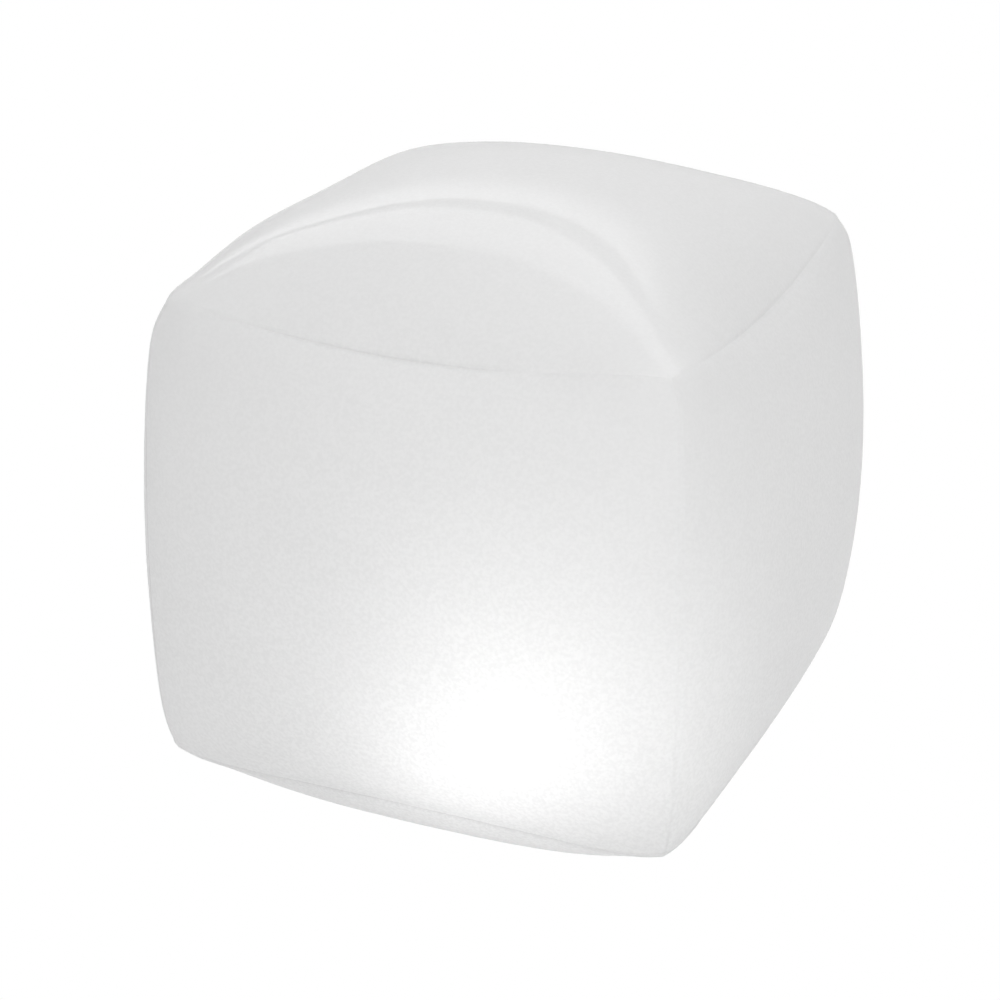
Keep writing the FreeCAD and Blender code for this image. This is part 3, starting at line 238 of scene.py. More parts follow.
WELD_EDGE_HEIGHT = 0.25 * MM
WELD_EDGE_WIDTH = 0.55 * MM
TOP_CORNER_WEAR = 3.2 * MM           # how far each corner is worn in
LOW_CORNER_WEAR = 0.3 * MM
CORNER_WEAR_REACH = 8.0 * MM
PUCKER_HEIGHT = 0.10 * MM            # gathers that run in from the seams
PUCKER_LENGTH = 9.0 * MM
PUCKER_WAVE = 13.0 * MM
PUCKER_BEAT = 0.37                   # one radian of the second wave, as a share of the first
PUCKER_SLANT = 0.6                   # how much the height moves the waves on
RING_HOLE = 46.25 * MM               # radius of the holes cut in the film
VALVE_HOLE = 6.5 * MM
VALVE_SIDE = -52.0 * MM              # where the valve goes through the back panel
VALVE_LEVEL = 48.0 * MM


def bell(distance, width):
    """1 at no distance, and near 0 from twice the width on."""
    return np.exp(-(distance / width) ** 2)


def distances(points, place):
    """How far the points are from a place given in millimetres."""
    return np.linalg.norm(points - np.array(place) * MM, axis=-1)


def sheet_points(grid):
    """A panel's points, closer together at its seams, with the fuller places pushed out."""
    share = np.linspace(0, 1, FILM_STEPS)
    crowded = share - CROWDING * np.sin(2 * math.pi * share) / (2 * math.pi)
    weights = basis(SPANS * crowded)
    points = np.einsum("ia,jb,abk->ijk", weights, weights, grid)
    push = np.zeros_like(points)
    for middle, way, reach in FULLER_PLACES:
        push += np.array(way) * MM * bell(distances(points, middle), reach * MM)[..., None]
    return points + push


def from_start(points, axis):
    """How far along the sheet each point is from the seam where the axis starts."""
    steps = np.diff(points, axis=axis, prepend=np.take(points, [0], axis=axis))
    return np.cumsum(np.linalg.norm(steps, axis=-1), axis=axis)


def from_seams(points, axis):
    """How far along the sheet each point is from the nearer seam that the axis meets."""
    start = from_start(points, axis)
    return np.minimum(start, np.take(start, [-1], axis=axis) - start)


def standing(points):
    """Share, from 0 to 1, of the place where the weld stands up."""
    return np.exp(-(distances(points, STANDING_MIDDLE) / STANDING_REACH) ** 4)


def lowness(points):
    """1 at the floor, falling upwards."""
    return np.exp(-points[..., 2] / LOW_SEAM_REACH)


def corner_wear(points):
    """How far the cube's eight corners are worn in at each point."""
    depth = 0.0
    for reach, level, wear in ((TOP_CORNER_REACH, TOP_CORNER_LEVEL, TOP_CORNER_WEAR),
                               (LOW_CORNER_REACH, LOW_CORNER_LEVEL, LOW_CORNER_WEAR)):
        for x in (-reach, reach):
            for y in (-reach, reach):
                away = np.linalg.norm(points - (x, y, level), axis=-1)
                depth = depth + wear * bell(away, CORNER_WEAR_REACH)
    return depth


def puckers(points, seam):
    """Height of the gathers beside the seams."""
    along = points[..., 0] - points[..., 1] + PUCKER_SLANT * points[..., 2]
    wave = np.sin(2 * math.pi * along / PUCKER_WAVE) + np.sin(along / (PUCKER_BEAT * PUCKER_WAVE))
    share = np.clip(seam / SEAM_WIDTH - 1, 0, 1) * np.exp(-seam / PUCKER_LENGTH)
    return PUCKER_HEIGHT / 2 * wave * share


def pressed_in(points, seam):
    """How far each point of the film is pressed in, from its distance to the seams."""
    valley = SEAM_DEPTH * (1 + LOW_SEAM_GAIN * lowness(points))
    weld = valley - (STANDING_HEIGHT + SEAM_DEPTH) * standing(points)
    return weld * bell(seam, SEAM_WIDTH) + corner_wear(points) + puckers(points, seam)


def grid_faces(count):
    """The quads of a square grid of points."""
    index = np.arange(count * count).reshape(count, count)
    return np.stack([index[:-1, :-1], index[1:, :-1], index[1:, 1:], index[:-1, 1:]],
                    axis=-1).reshape(-1, 4)


def valve_axis():
    """The way that the valve pulls out."""
    axis = next(joint["axis"] for joint in frame["joints"] if joint["name"] == "valve_pull")
    return np.array(axis) / np.linalg.norm(axis)


def hole_in(node, points):
    """A point on the axis of the hole in a panel, the axis and the hole's radius, or None."""
    if node == "bottom_panel":
        return np.zeros(3), np.array([0, 0, 1.0]), RING_HOLE
    if node == "back_panel":
        away = np.hypot(points[:, 0] - VALVE_SIDE, points[:, 2] - VALVE_LEVEL)
        return points[away.argmin()], valve_axis(), VALVE_HOLE
    return None


def holed(node, sheet, faces):
    """The sheet's points in one row, and its faces outside the panel's hole, the edge of
    which is drawn onto the circle."""
    points = sheet.reshape(-1, 3).copy()
    hole = hole_in(node, points)
    if hole is None:
        return points, faces
    middle, axis, radius = hole
    away = points - middle
    flat = away - (away @ axis)[:, None] * axis
    reach = np.linalg.norm(flat, axis=1)
    inside = reach < radius
    kept = faces[~inside[faces].all(axis=1)]
    edge = np.unique(kept[inside[kept]])
    points[edge] += flat[edge] * (radius / reach[edge] - 1)[:, None]
    return points, kept


def new_mesh(name, points, faces, material):
    """A new piece in the scene, shaded smooth."""
    mesh = bpy.data.meshes.new(name)
    mesh.from_pydata([tuple(p) for p in points], [], [tuple(f) for f in faces])
    mesh.materials.append(material)
    mesh.shade_smooth()
    mesh.update()
    made = bpy.data.objects.new(name, mesh)
    bpy.context.scene.collection.objects.link(made)
    return made


def film_piece(node, grid, materials):
    """The outer and the inner face of one panel's film as one piece, which also carries how
    much its welds darken each point."""
    points = sheet_points(grid)
    seam = np.minimum(from_seams(points, 0), from_seams(points, 1))
    depth = pressed_in(points, seam)
    if node not in ("top_panel", "bottom_panel"):    # the weld's inner edge shows on the sides
        depth -= WELD_EDGE_HEIGHT * bell(from_start(points, 1) - WELD_EDGE, WELD_EDGE_WIDTH)
    inward = np.array(CUBE_MIDDLE) - points
    inward /= np.linalg.norm(inward, axis=-1)[..., None]
    outer_sheet = points + inward * depth[..., None]
    inner_sheet = outer_sheet + inward * FILM_THICKNESS
    faces = grid_faces(FILM_STEPS)
    if node == "bottom_panel":
        faces = faces[:, ::-1]
    outer_points, outer_faces = holed(node, outer_sheet, faces)
    inner_points, inner_faces = holed(node, inner_sheet, faces)
    piece = new_mesh(node.replace("panel", "film"), np.concatenate([outer_points, inner_points]),
                     np.concatenate([outer_faces, inner_faces[:, ::-1] + FILM_STEPS ** 2]),
                     materials["film"])
    piece.data.materials.append(materials["film_inside"])
    sides = np.repeat([0, 1], [len(outer_faces), len(inner_faces)])
    piece.data.polygons.foreach_set("material_index", sides.astype(np.int32))
    shade = lowness(points) * bell(seam, WELD_WIDTH)
    weld = piece.data.attributes.new("weld", "FLOAT", "POINT")
    weld.data.foreach_set("value", np.tile(shade.ravel(), 2).astype(np.float32))
    return piece


def make_film(materials):
    """The cube's six films, in place of the CAD's plain panels."""
    for node, grid in panel_grids().items():
        piece = film_piece(node, grid, materials)
        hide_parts(node)
        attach(piece, "root")


# ------------------------------------------------------------------- screws

SCREW_RADIUS = 1.2 * MM
SCREW_THREAD = 0.16 * MM             # crest above the core
SCREW_PITCH = 0.9 * MM
SCREW_CREST = 0.5                    # width of a crest, as a share of the pitch
SCREW_TIP = 1.5 * MM                 # the tip would narrow to nothing in this length,
SCREW_TIP_SHARE = 0.25               # but ends blunt, at this share of the radius
HEAD_EDGE = 0.35 * MM                # rounding of the head
HEAD_RIM = 0.9                       # what lies past this share of its radius is its rim
RECESS_ARM = 1.45 * MM               # cross recess: reach, width and depth
RECESS_WIDTH = 0.34 * MM
RECESS_DEPTH = 0.8 * MM
RECESS_TAPER = 0.3                   # how much narrower and shallower an arm gets outwards
RECESS_RAMP = 0.35
RECESS_WALL = 0.12 * MM              # slope of the walls, and of each arm's end
RECESS_END = 0.25 * MM
HEAD_STEPS = 72                      # points round the head, and round the shank
SHANK_STEPS = 24
HEAD_RINGS = 20                      # rings of points under the head, round its edge, and
EDGE_RINGS = 4                       # in one pitch of the thread
PITCH_RINGS = 8


def recess_share(x, y):
    """1 inside the cross, 0 outside, with steep walls; its arms get shallower outwards."""
    share = 0.0
    for along, across in ((abs(x), abs(y)), (abs(y), abs(x))):
        width = RECESS_WIDTH * (1 - RECESS_TAPER * along / RECESS_ARM)
        inside = np.clip((width - across) / RECESS_WALL + 0.5, 0, 1)
        reach = np.clip((RECESS_ARM - along) / RECESS_END, 0, 1)
        share = np.maximum(share, inside * reach * (1 - RECESS_RAMP * along / RECESS_ARM))
    return share


def round_turns(steps):
    """Evenly spaced angles round a circle."""
    return 2 * math.pi * np.arange(steps) / steps


def ring(middle, turns, reach, level):
    """Points round an upright axis; their reach and level may change on the way."""
    x, y = reach * np.cos(turns), reach * np.sin(turns)
    return np.stack(np.broadcast_arrays(middle[0] + x, middle[1] + y, level), axis=-1)


def head_rings(middle, low, head_top, radius):
    """The head from the middle of its underside, round its edge and in to the shank."""
    turns = round_turns(HEAD_STEPS)
    rings = []
    for index in range(1, HEAD_RINGS + 1):
        reach = (radius - HEAD_EDGE) * index / HEAD_RINGS
        recess = recess_share(reach * np.cos(turns), reach * np.sin(turns))
        rings.append(ring(middle, turns, reach, low + RECESS_DEPTH * recess))
    for index in range(1, EDGE_RINGS + 1):
        bend = math.pi / 2 * index / EDGE_RINGS
        rings.append(ring(middle, turns, radius - HEAD_EDGE + HEAD_EDGE * math.sin(bend),
                          low + HEAD_EDGE * (1 - math.cos(bend))))
    rings.append(ring(middle, turns, radius, head_top))
    rings.append(ring(middle, turns, SCREW_RADIUS - SCREW_THREAD, head_top))
    return rings


def shank_rings(middle, head_top, high):
    """The threaded shank from the head to its tip."""
    turns = round_turns(SHANK_STEPS)
    count = int((high - head_top) / SCREW_PITCH * PITCH_RINGS)
    rings = []
    for level in np.linspace(head_top, high, count + 1):
        phase = (level / SCREW_PITCH - turns / (2 * math.pi)) % 1.0
        crest = np.maximum(0, 1 - abs(phase - 0.5) * 2 / SCREW_CREST)
        taper = min(1.0, (high - level) / SCREW_TIP + SCREW_TIP_SHARE)
        reach = (SCREW_RADIUS - SCREW_THREAD * (1 - crest)) * taper
        rings.append(ring(middle, turns, reach, level))
    return rings


def tube_faces(index):
    """The quads between rings, from the points' numbers, one row for each ring."""
    after = np.roll(index, -1, axis=1)
    quads = np.stack([index[1:], index[:-1], after[:-1], after[1:]], axis=-1)
    return quads.reshape(-1, 4).tolist()


def fan_faces(point, circle):
    """The triangles between one point and a ring."""
    return [(point, first, second) for first, second in zip(circle, np.roll(circle, -1))]


def screw_mesh(middle, low, high, head_top, head_radius):
    """Points and faces of a screw that stands on its head: a pan head with a cross recess
    underneath, and a threaded shank."""
    head = np.array(head_rings(middle, low, head_top, head_radius))
    shank = np.array(shank_rings(middle, head_top, high))
    recess_floor = head.shape[0] * head.shape[1]
    tip = recess_floor + 1 + shank.shape[0] * shank.shape[1]
    head_index = np.arange(recess_floor).reshape(head.shape[:2])
    shank_index = np.arange(recess_floor + 1, tip).reshape(shank.shape[:2])
    points = [*head.reshape(-1, 3), (middle[0], middle[1], low + RECESS_DEPTH),
              *shank.reshape(-1, 3), (middle[0], middle[1], high)]
    faces = [*tube_faces(head_index), *fan_faces(recess_floor, head_index[0][::-1]),
             *tube_faces(shank_index), *fan_faces(tip, shank_index[-1])]
    return points, faces


def screw_clusters():
    """The CAD node's points, screw by screw."""
    mesh = frame["nodes"]["housing_screws"].data
    points = np.array([vertex.co for vertex in mesh.vertices])
    return [points[(points[:, 1] * side > 0) & (points[:, 0] * end > 0)]
            for side in (-1, 1) for end in (-1, 1)]


def make_screws(materials):
    """The housing screws with thread and cross recess, sized and placed as in the CAD."""
    low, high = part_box("housing_screws")
    clusters = screw_clusters()
    places = [(cluster.min(axis=0) + cluster.max(axis=0)) / 2 for cluster in clusters]
    reach = np.linalg.norm((clusters[0] - places[0])[:, :2], axis=1)
    head_radius = reach.max()
    head_top = clusters[0][reach > HEAD_RIM * head_radius][:, 2].max()
    points, faces = [], []
    for place in places:
        made, joined = screw_mesh(place, low[2], high[2], head_top, head_radius)
        faces += [tuple(index + len(points) for index in face) for face in joined]
        points += made
    piece = new_mesh("cross_head_screws", points, faces, materials["screw_steel"])
    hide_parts("housing_screws")
    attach(piece, "root")


# ----------------------------------------------------------- parts of materials

WHITE = (1, 1, 1, 1)
NOISE_LOW, NOISE_HIGH = 0.3, 0.7     # most of a noise lies between these
NOISE_CORE = (0.35, 0.65)            # its steeper middle


def feed(tree, socket, value):
    """Links the socket to another one, or else sets it."""
    if isinstance(value, bpy.types.NodeSocket):
        tree.links.new(value, socket)
    else:
        socket.default_value = value


def add(tree, kind, inputs=(), **settings):
    """A new node with these settings, its inputs fed by name or number."""
    made = tree.nodes.new(kind)
    for name, value in settings.items():
        setattr(made, name, value)
    for name, value in dict(inputs).items():
        feed(tree, made.inputs[name], value)
    return made


def new_material(name):
    """A material and its node tree, which is empty."""
    material = bpy.data.materials.new(name)
    material.use_nodes = True
    material.node_tree.nodes.clear()
    return material, material.node_tree


def finish_surface(tree, shader):
    """Makes the shader the surface of its material."""
    add(tree, "ShaderNodeOutputMaterial", {"Surface": shader})


def mixed(tree, share, first, second):
    """A mix of two shaders, with the share of the second."""
    return add(tree, "ShaderNodeMixShader", {0: share, 1: first, 2: second}).outputs[0]


def mixed_colour(tree, share, first, second):
    """A mix of two colours, with the share of the second."""
    made = add(tree, "ShaderNodeMix", {"Factor": share, "A": first, "B": second},
               data_type="RGBA")
    return made.outputs["Result"]


def math_node(tree, operation, first, second=0.0):
    """The result of the operation on one or two values."""
    return add(tree, "ShaderNodeMath", {0: first, 1: second}, operation=operation).outputs[0]


def object_place(tree):
    """The place on the object, in metres."""
    return add(tree, "ShaderNodeTexCoord").outputs["Object"]


def axis_value(tree, axis):
    """One coordinate of the place on the object."""
    return add(tree, "ShaderNodeSeparateXYZ", {0: object_place(tree)}).outputs[axis]


def noise(tree, scale, detail=2.0, place=None):
    """Noise from 0 to 1, with the given number of cells per metre."""
    inputs = {"Scale": scale, "Detail": detail, "Vector": place or object_place(tree)}
    return add(tree, "ShaderNodeTexNoise", inputs).outputs["Fac"]


def spread(tree, value, low, high, at_low, at_high, smooth=False):
    """The value taken from one range to another."""
    inputs = {"From Min": low, "From Max": high, "To Min": at_low, "To Max": at_high,
              "Value": value}
    return add(tree, "ShaderNodeMapRange", inputs,
               interpolation_type="SMOOTHSTEP" if smooth else "LINEAR").outputs["Result"]


def tinted(tree, value, colour_low, colour_high):
    """A colour between two, as the noise goes up."""
    made = add(tree, "ShaderNodeValToRGB", {"Fac": value})
    for element, position, colour in zip(made.color_ramp.elements, NOISE_CORE,
                                         (colour_low, colour_high)):
        element.position = position
        element.color = (*colour, 1)
    return made.outputs["Color"]


def bump(tree, height, depth, before=None):
    """A normal with relief of the given depth in metres, on top of the one before."""
    inputs = {"Strength": 1.0, "Distance": depth, "Height": height}
    if before is not None:
        inputs["Normal"] = before
    return add(tree, "ShaderNodeBump", inputs).outputs["Normal"]


def darker(colour, share):
    """The colour with this share of its light left."""
    return tuple(part * share for part in colour)


# ---------------------------------------------------------------- materials

GRAIN_SCALE = 820.0                  # noise cells per metre in the film's matt finish
GRAIN_DULL = 0.12                    # light that the dullest grains near the lamp keep back
GRAIN_REACH = (110 * MM, 190 * MM)   # from the lamp: grain at its full, and faint
GRAIN_FAINT = 0.25
LAMP_HEIGHT = 45.0 * MM              # of the middle of the glow
OUTER_PASSED = 0.5                   # share of the light that goes through each face
INNER_PASSED = 0.7
OUTER_IOR = 1.5
INNER_IOR = 1.4
PASSED_ROUGHNESS = 0.75              # how widely the film scatters it
FILM_ROUGHNESS = 0.55
COAT_WEIGHT = 0.8
COAT_ROUGHNESS = 0.03
FILM_WHITE, FILM_CLOUD = 0.875, 0.865        # how white it is, and where it is cloudier
CLOUD_SCALE = 25.0

FLOW_SCALE = 60.0                    # cells per metre of a moulding's flow and handling marks
FLOW_SHADE = 0.93
MARKS_SCALE = 240.0
MARKS_GLOSS = (0.8, 1.2)             # their least and most, as shares of the roughness
TEXTURE_SCALE = 1500.0
FINE_TEXTURE_SCALE = 2500.0
TEXTURE_DEPTH = 0.03 * MM
SHEER_REACH = 1.5 * MM               # how far light gets under a sheer surface
FROST_SCALE = 900.0                  # the texture of frosted plastic
FROST_DEPTH = 0.04 * MM

COVER_PITCH = 3.0 * MM               # of the battery cover's thread: its travel in one turn
COVER_THREAD = 1.2 * MM              # depth of its relief, and of its fading at both ends
THREAD_RUNOUT = 0.3 * MM

SCRATCH_SCALE = 900.0                # of steel
SCRATCH_STRETCH = (1, 14, 1)
SCRATCH_GLOSS = (0.7, 1.4)
SCRATCH_DEPTH = 0.02 * MM
SPOT_SCALE = 300.0
SPOT_SHADE = 0.85

WRAP_COLOURS = ((0.012, 0.012, 0.014), (0.02, 0.02, 0.024))
WRAP_SCALE = 400.0
WRAP_MARKS_SCALE = 200.0
WRAP_GLOSS = (0.22, 0.4)             # least and most roughness
WRAP_TEXTURE_SCALE = 900.0
WRAP_TEXTURE_DEPTH = 0.01 * MM
BAND_COLOUR = (0.55, 0.30, 0.08, 1)
BAND_START = 9.2 * MM                # from the cell's ends: the band, and the bare steel
BARE_START = 1.3 * MM
PRINT_EDGE = 0.2 * MM
BARE_COLOUR = (0.6, 0.6, 0.62, 1)

TRACK_SCALE = 160.0                  # of the circuit board
TRACK_GAP = 0.06                     # as a share of the pattern's cells
TRACK_DEPTH = 0.04 * MM
GAP_COLOUR = (0.62, 0.66, 0.60, 1)
MASK_COLOURS = ((0.80, 0.82, 0.80, 1), (0.77, 0.80, 0.78, 1))
BOARD_MARKS_SCALE = 300.0
BOARD_GLOSS = (0.25, 0.4)

LED_STRENGTH = 64.0
LED_EDGE_SHARE = 0.2                 # of that at the foot of a chip
LED_FULL = 0.6 * MM                  # below the top of a chip it shines at its full
LED_COLOURS = ((0.85, 0.8, 0.5), (0.9, 0.88, 0.75))
PHOSPHOR_SCALE = 1500.0
DOME_STRENGTH = 1.65                 # at its crown
DOME_RIM_STRENGTH = 0.1
DOME_CLEAR = 0.6
DOME_GLOW = (1.5 * MM, 5.0 * MM)     # from its foot up, and from its top down
# Painted glow on the socket ring, which is no lamp: its strength, and its margins at the ring's foot and top
RING_PAINTED_GLOW_STRENGTH = 5.7
RING_PAINTED_GLOW_FADE = (2.0 * MM, 4.0 * MM)

MOULDED = {                          # colour, roughness, texture and sheerness, by slot
    "housing_plastic": ((0.62, 0.62, 0.61), 0.42, TEXTURE_SCALE, 0.0),
    "seal_silicone": ((0.36, 0.37, 0.38), 0.6, TEXTURE_SCALE, 0.2),
    "tray_plastic": ((0.10, 0.10, 0.11), 0.5, TEXTURE_SCALE, 0.0),
    "chip_resin": ((0.02, 0.02, 0.022), 0.45, FINE_TEXTURE_SCALE, 0.0),
    "switch_plastic": ((0.04, 0.04, 0.045), 0.4, TEXTURE_SCALE, 0.0),
    "button_silicone": ((0.36, 0.37, 0.39), 0.55, TEXTURE_SCALE, 0.3),
    "reflector_white": ((0.9, 0.9, 0.9), 0.3, TEXTURE_SCALE, 0.0),
    "valve_vinyl": ((0.62, 0.63, 0.64), 0.3, TEXTURE_SCALE, 0.3),
}
STEEL = {                            # colour and roughness, by slot
    "contact_steel": ((0.72, 0.70, 0.66), 0.3),
    "screw_steel": ((0.62, 0.62, 0.63), 0.28),
}
COVER_LOOK = ((0.55, 0.55, 0.55), 0.38)
RING_LOOK = ((0.62, 0.62, 0.61), 0.4)
DOME_LOOK = ((0.85, 0.85, 0.85), 0.3)


def film_material(name, passed, ior, coated):
    """One face of the matt film: it throws back some light and scatters the rest on."""
    material, tree = new_material(name)
    cloud = spread(tree, noise(tree, CLOUD_SCALE), *NOISE_CORE, FILM_CLOUD, FILM_WHITE)
    grain = spread(tree, noise(tree, GRAIN_SCALE, detail=1.0), *NOISE_CORE, 0.0, 1.0)
    away = add(tree, "ShaderNodeVectorMath", {0: object_place(tree), 1: (0, 0, LAMP_HEIGHT)},
               operation="DISTANCE")
    near = spread(tree, away.outputs["Value"], *GRAIN_REACH, 1.0, GRAIN_FAINT)
    shown = math_node(tree, "MULTIPLY", grain, near)
    speckled = spread(tree, shown, 0.0, 1.0, 1.0, 1.0 - GRAIN_DULL)
    weld = add(tree, "ShaderNodeAttribute", attribute_name="weld")
    light = spread(tree, weld.outputs["Fac"], 0.0, 1.0, 1.0, 1.0 - WELD_DARK)
    skin = add(tree, "ShaderNodeBsdfPrincipled", {
        "Base Color": math_node(tree, "MULTIPLY", cloud, light), "Roughness": FILM_ROUGHNESS})
    if coated:
        skin.inputs["Coat Weight"].default_value = COAT_WEIGHT
        skin.inputs["Coat Roughness"].default_value = COAT_ROUGHNESS
    forward = add(tree, "ShaderNodeBsdfRefraction", {
        "Color": math_node(tree, "MULTIPLY", speckled, light), "IOR": ior,
        "Roughness": PASSED_ROUGHNESS})
    finish_surface(tree, mixed(tree, passed, skin.outputs[0], forward.outputs[0]))
    return material


def moulded_skin(tree, colour, roughness, scale=TEXTURE_SCALE, depth=TEXTURE_DEPTH):
    """Moulded plastic or rubber: flow marks in its colour, handling marks in its gloss and a
    fine matt texture."""
    least, most = MARKS_GLOSS
    return add(tree, "ShaderNodeBsdfPrincipled", {
        "Base Color": tinted(tree, noise(tree, FLOW_SCALE, detail=4.0), darker(colour, FLOW_SHADE),
                             colour),
        "Roughness": spread(tree, noise(tree, MARKS_SCALE, detail=5.0), NOISE_LOW, NOISE_HIGH,
                            roughness * least, roughness * most),
        "Normal": bump(tree, noise(tree, scale), depth)})


def moulded(name, colour, roughness, scale, sheer):
    """A moulded part, and some light gets under a sheer one."""
    material, tree = new_material(name)
    skin = moulded_skin(tree, colour, roughness, scale)
    if sheer:
        skin.inputs["Subsurface Weight"].default_value = sheer
        skin.inputs["Subsurface Radius"].default_value = (1, 1, 1)
        skin.inputs["Subsurface Scale"].default_value = SHEER_REACH
    finish_surface(tree, skin.outputs[0])
    return material


def threaded(name, colour, roughness, middle, low, high):
    """Moulded plastic with a screw thread round an upright axis between two heights."""
    material, tree = new_material(name)
    skin = moulded_skin(tree, colour, roughness)
    texture = skin.inputs["Normal"].links[0].from_socket
    x = math_node(tree, "SUBTRACT", axis_value(tree, "X"), middle[0])
    y = math_node(tree, "SUBTRACT", axis_value(tree, "Y"), middle[1])
    height = axis_value(tree, "Z")
    turns = math_node(tree, "DIVIDE", math_node(tree, "ARCTAN2", y, x), 2 * math.pi)
    rise = math_node(tree, "DIVIDE", height, COVER_PITCH)
    wave = math_node(tree, "PINGPONG", math_node(tree, "SUBTRACT", rise, turns), 0.5)
    above = spread(tree, height, low, low + THREAD_RUNOUT, 0.0, 1.0)
    below = spread(tree, height, high - THREAD_RUNOUT, high, 1.0, 0.0)
    inside = math_node(tree, "MULTIPLY", above, below)
    thread = bump(tree, math_node(tree, "MULTIPLY", wave, inside), COVER_THREAD, texture)
    tree.links.new(thread, skin.inputs["Normal"])
    finish_surface(tree, skin.outputs[0])
    return material


def lamp_glow_or_painted_glow(name, colour, roughness, low, high, at_low, at_high, clear=0.0):
    """Frosted plastic round the lamp, glowing between two heights; the socket ring's glow is painted."""
    material, tree = new_material(name)
    skin = moulded_skin(tree, colour, roughness, FROST_SCALE, FROST_DEPTH)
    glow = spread(tree, axis_value(tree, "Z"), low, high, at_low, at_high, True)
    skin.inputs["Emission Color"].default_value = WHITE
    tree.links.new(glow, skin.inputs["Emission Strength"])
    shader = skin.outputs[0]
    if clear:
        through = add(tree, "ShaderNodeBsdfTransparent")
        shader = mixed(tree, clear, shader, through.outputs[0])
    finish_surface(tree, shader)
    return material


def steel(name, colour, roughness):
    """Rolled or turned steel, with fine scratches one way and dull spots."""
    material, tree = new_material(name)
    least, most = SCRATCH_GLOSS
    stretch = add(tree, "ShaderNodeMapping", {"Scale": SCRATCH_STRETCH,
                                              "Vector": object_place(tree)})
    scratches = noise(tree, SCRATCH_SCALE, detail=3.0, place=stretch.outputs[0])
    skin = add(tree, "ShaderNodeBsdfPrincipled", {
        "Metallic": 1.0,
        "Base Color": tinted(tree, noise(tree, SPOT_SCALE, detail=4.0), darker(colour, SPOT_SHADE),
                             colour),
        "Roughness": spread(tree, scratches, NOISE_LOW, NOISE_HIGH, roughness * least,
                            roughness * most),
        "Normal": bump(tree, scratches, SCRATCH_DEPTH)})
    finish_surface(tree, skin.outputs[0])
    return material


def battery_material():
    """A cell: printed wrap with a band near each end, and bare steel ends."""
    material, tree = new_material("cell_wrap")
    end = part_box("battery_1")[1][1]
    from_middle = math_node(tree, "ABSOLUTE", axis_value(tree, "Y"))
    band = spread(tree, from_middle, end - BAND_START, end - BAND_START + PRINT_EDGE, 0.0, 1.0)
    bare = spread(tree, from_middle, end - BARE_START, end - BARE_START + PRINT_EDGE, 0.0, 1.0)
    wrap = tinted(tree, noise(tree, WRAP_SCALE, detail=3.0), *WRAP_COLOURS)
    printed = mixed_colour(tree, band, wrap, BAND_COLOUR)
    skin = add(tree, "ShaderNodeBsdfPrincipled", {
        "Base Color": mixed_colour(tree, bare, printed, BARE_COLOUR),
        "Metallic": bare,
        "Roughness": spread(tree, noise(tree, WRAP_MARKS_SCALE, detail=4.0), NOISE_LOW, NOISE_HIGH,
                            *WRAP_GLOSS),
        "Normal": bump(tree, noise(tree, WRAP_TEXTURE_SCALE), WRAP_TEXTURE_DEPTH)})
    finish_surface(tree, skin.outputs[0])
    return material


def board_material():
    """White solder mask, in which the tracks under it show as faint steps."""
    material, tree = new_material("board_laminate")
    tracks = add(tree, "ShaderNodeTexBrick", {
        "Scale": TRACK_SCALE, "Mortar Size": TRACK_GAP, "Mortar": GAP_COLOUR,
        "Color1": MASK_COLOURS[0], "Color2": MASK_COLOURS[1], "Vector": object_place(tree)})
    skin = add(tree, "ShaderNodeBsdfPrincipled", {
        "Base Color": tracks.outputs["Color"],
        "Roughness": spread(tree, noise(tree, BOARD_MARKS_SCALE), NOISE_LOW, NOISE_HIGH,
                            *BOARD_GLOSS),
        "Normal": bump(tree, tracks.outputs["Fac"], TRACK_DEPTH)})
    finish_surface(tree, skin.outputs[0])
    return material


def led_material():
    """Lit chips, whose phosphor shines more towards their tops."""
    material, tree = new_material("led_lens")
    low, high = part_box("leds")
    skin = add(tree, "ShaderNodeBsdfPrincipled", {
        "Base Color": tinted(tree, noise(tree, PHOSPHOR_SCALE), *LED_COLOURS),
        "Emission Color": WHITE,
        "Emission Strength": spread(tree, axis_value(tree, "Z"), low[2], high[2] - LED_FULL,
                                    LED_STRENGTH * LED_EDGE_SHARE, LED_STRENGTH)})
    finish_surface(tree, skin.outputs[0])
    return material


def make_materials():
    """One material for each slot of the record, and one for the film's inner face."""
    dome_low, dome_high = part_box("light_dome")
    ring_low, ring_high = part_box("socket_ring")
    cover_low, cover_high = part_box("battery_cover")
    seal_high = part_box("cover_seal")[1]
    made = {slot: moulded(slot, *look) for slot, look in MOULDED.items()}
    made.update({slot: steel(slot, *look) for slot, look in STEEL.items()})
    made["film"] = film_material("film", OUTER_PASSED, OUTER_IOR, True)
    made["film_inside"] = film_material("film_inside", INNER_PASSED, INNER_IOR, False)
    # The socket ring is no lamp: its emission is painted glow, standing in for the light of the lamp inside it.
    made["ring_vinyl"] = lamp_glow_or_painted_glow("ring_vinyl", *RING_LOOK, ring_low[2] + RING_PAINTED_GLOW_FADE[0],
                                     ring_high[2] - RING_PAINTED_GLOW_FADE[1], 0.0, RING_PAINTED_GLOW_STRENGTH)
    made["dome_diffuser"] = lamp_glow_or_painted_glow("dome_diffuser", *DOME_LOOK, dome_low[2] + DOME_GLOW[0],
                                        dome_high[2] - DOME_GLOW[1], DOME_RIM_STRENGTH,
                                        DOME_STRENGTH, DOME_CLEAR)
    made["cover_plastic"] = threaded("cover_plastic", *COVER_LOOK, (cover_low + cover_high) / 2,
                                     seal_high[2], cover_high[2])
    made["cell_wrap"] = battery_material()
    made["board_laminate"] = board_material()
    made["led_lens"] = led_material()
    return made


def dress_nodes(materials):
    """Gives each CAD node the material of its slot in the record."""
    slots = {part["node"]: part["material_slot"] for part in frame["record"]["subparts"]}
    for name, node in frame["nodes"].items():
        node.data.materials.clear()
        node.data.materials.append(materials[slots[name]])


# ------------------------------------------------------- floor, sky and lamps

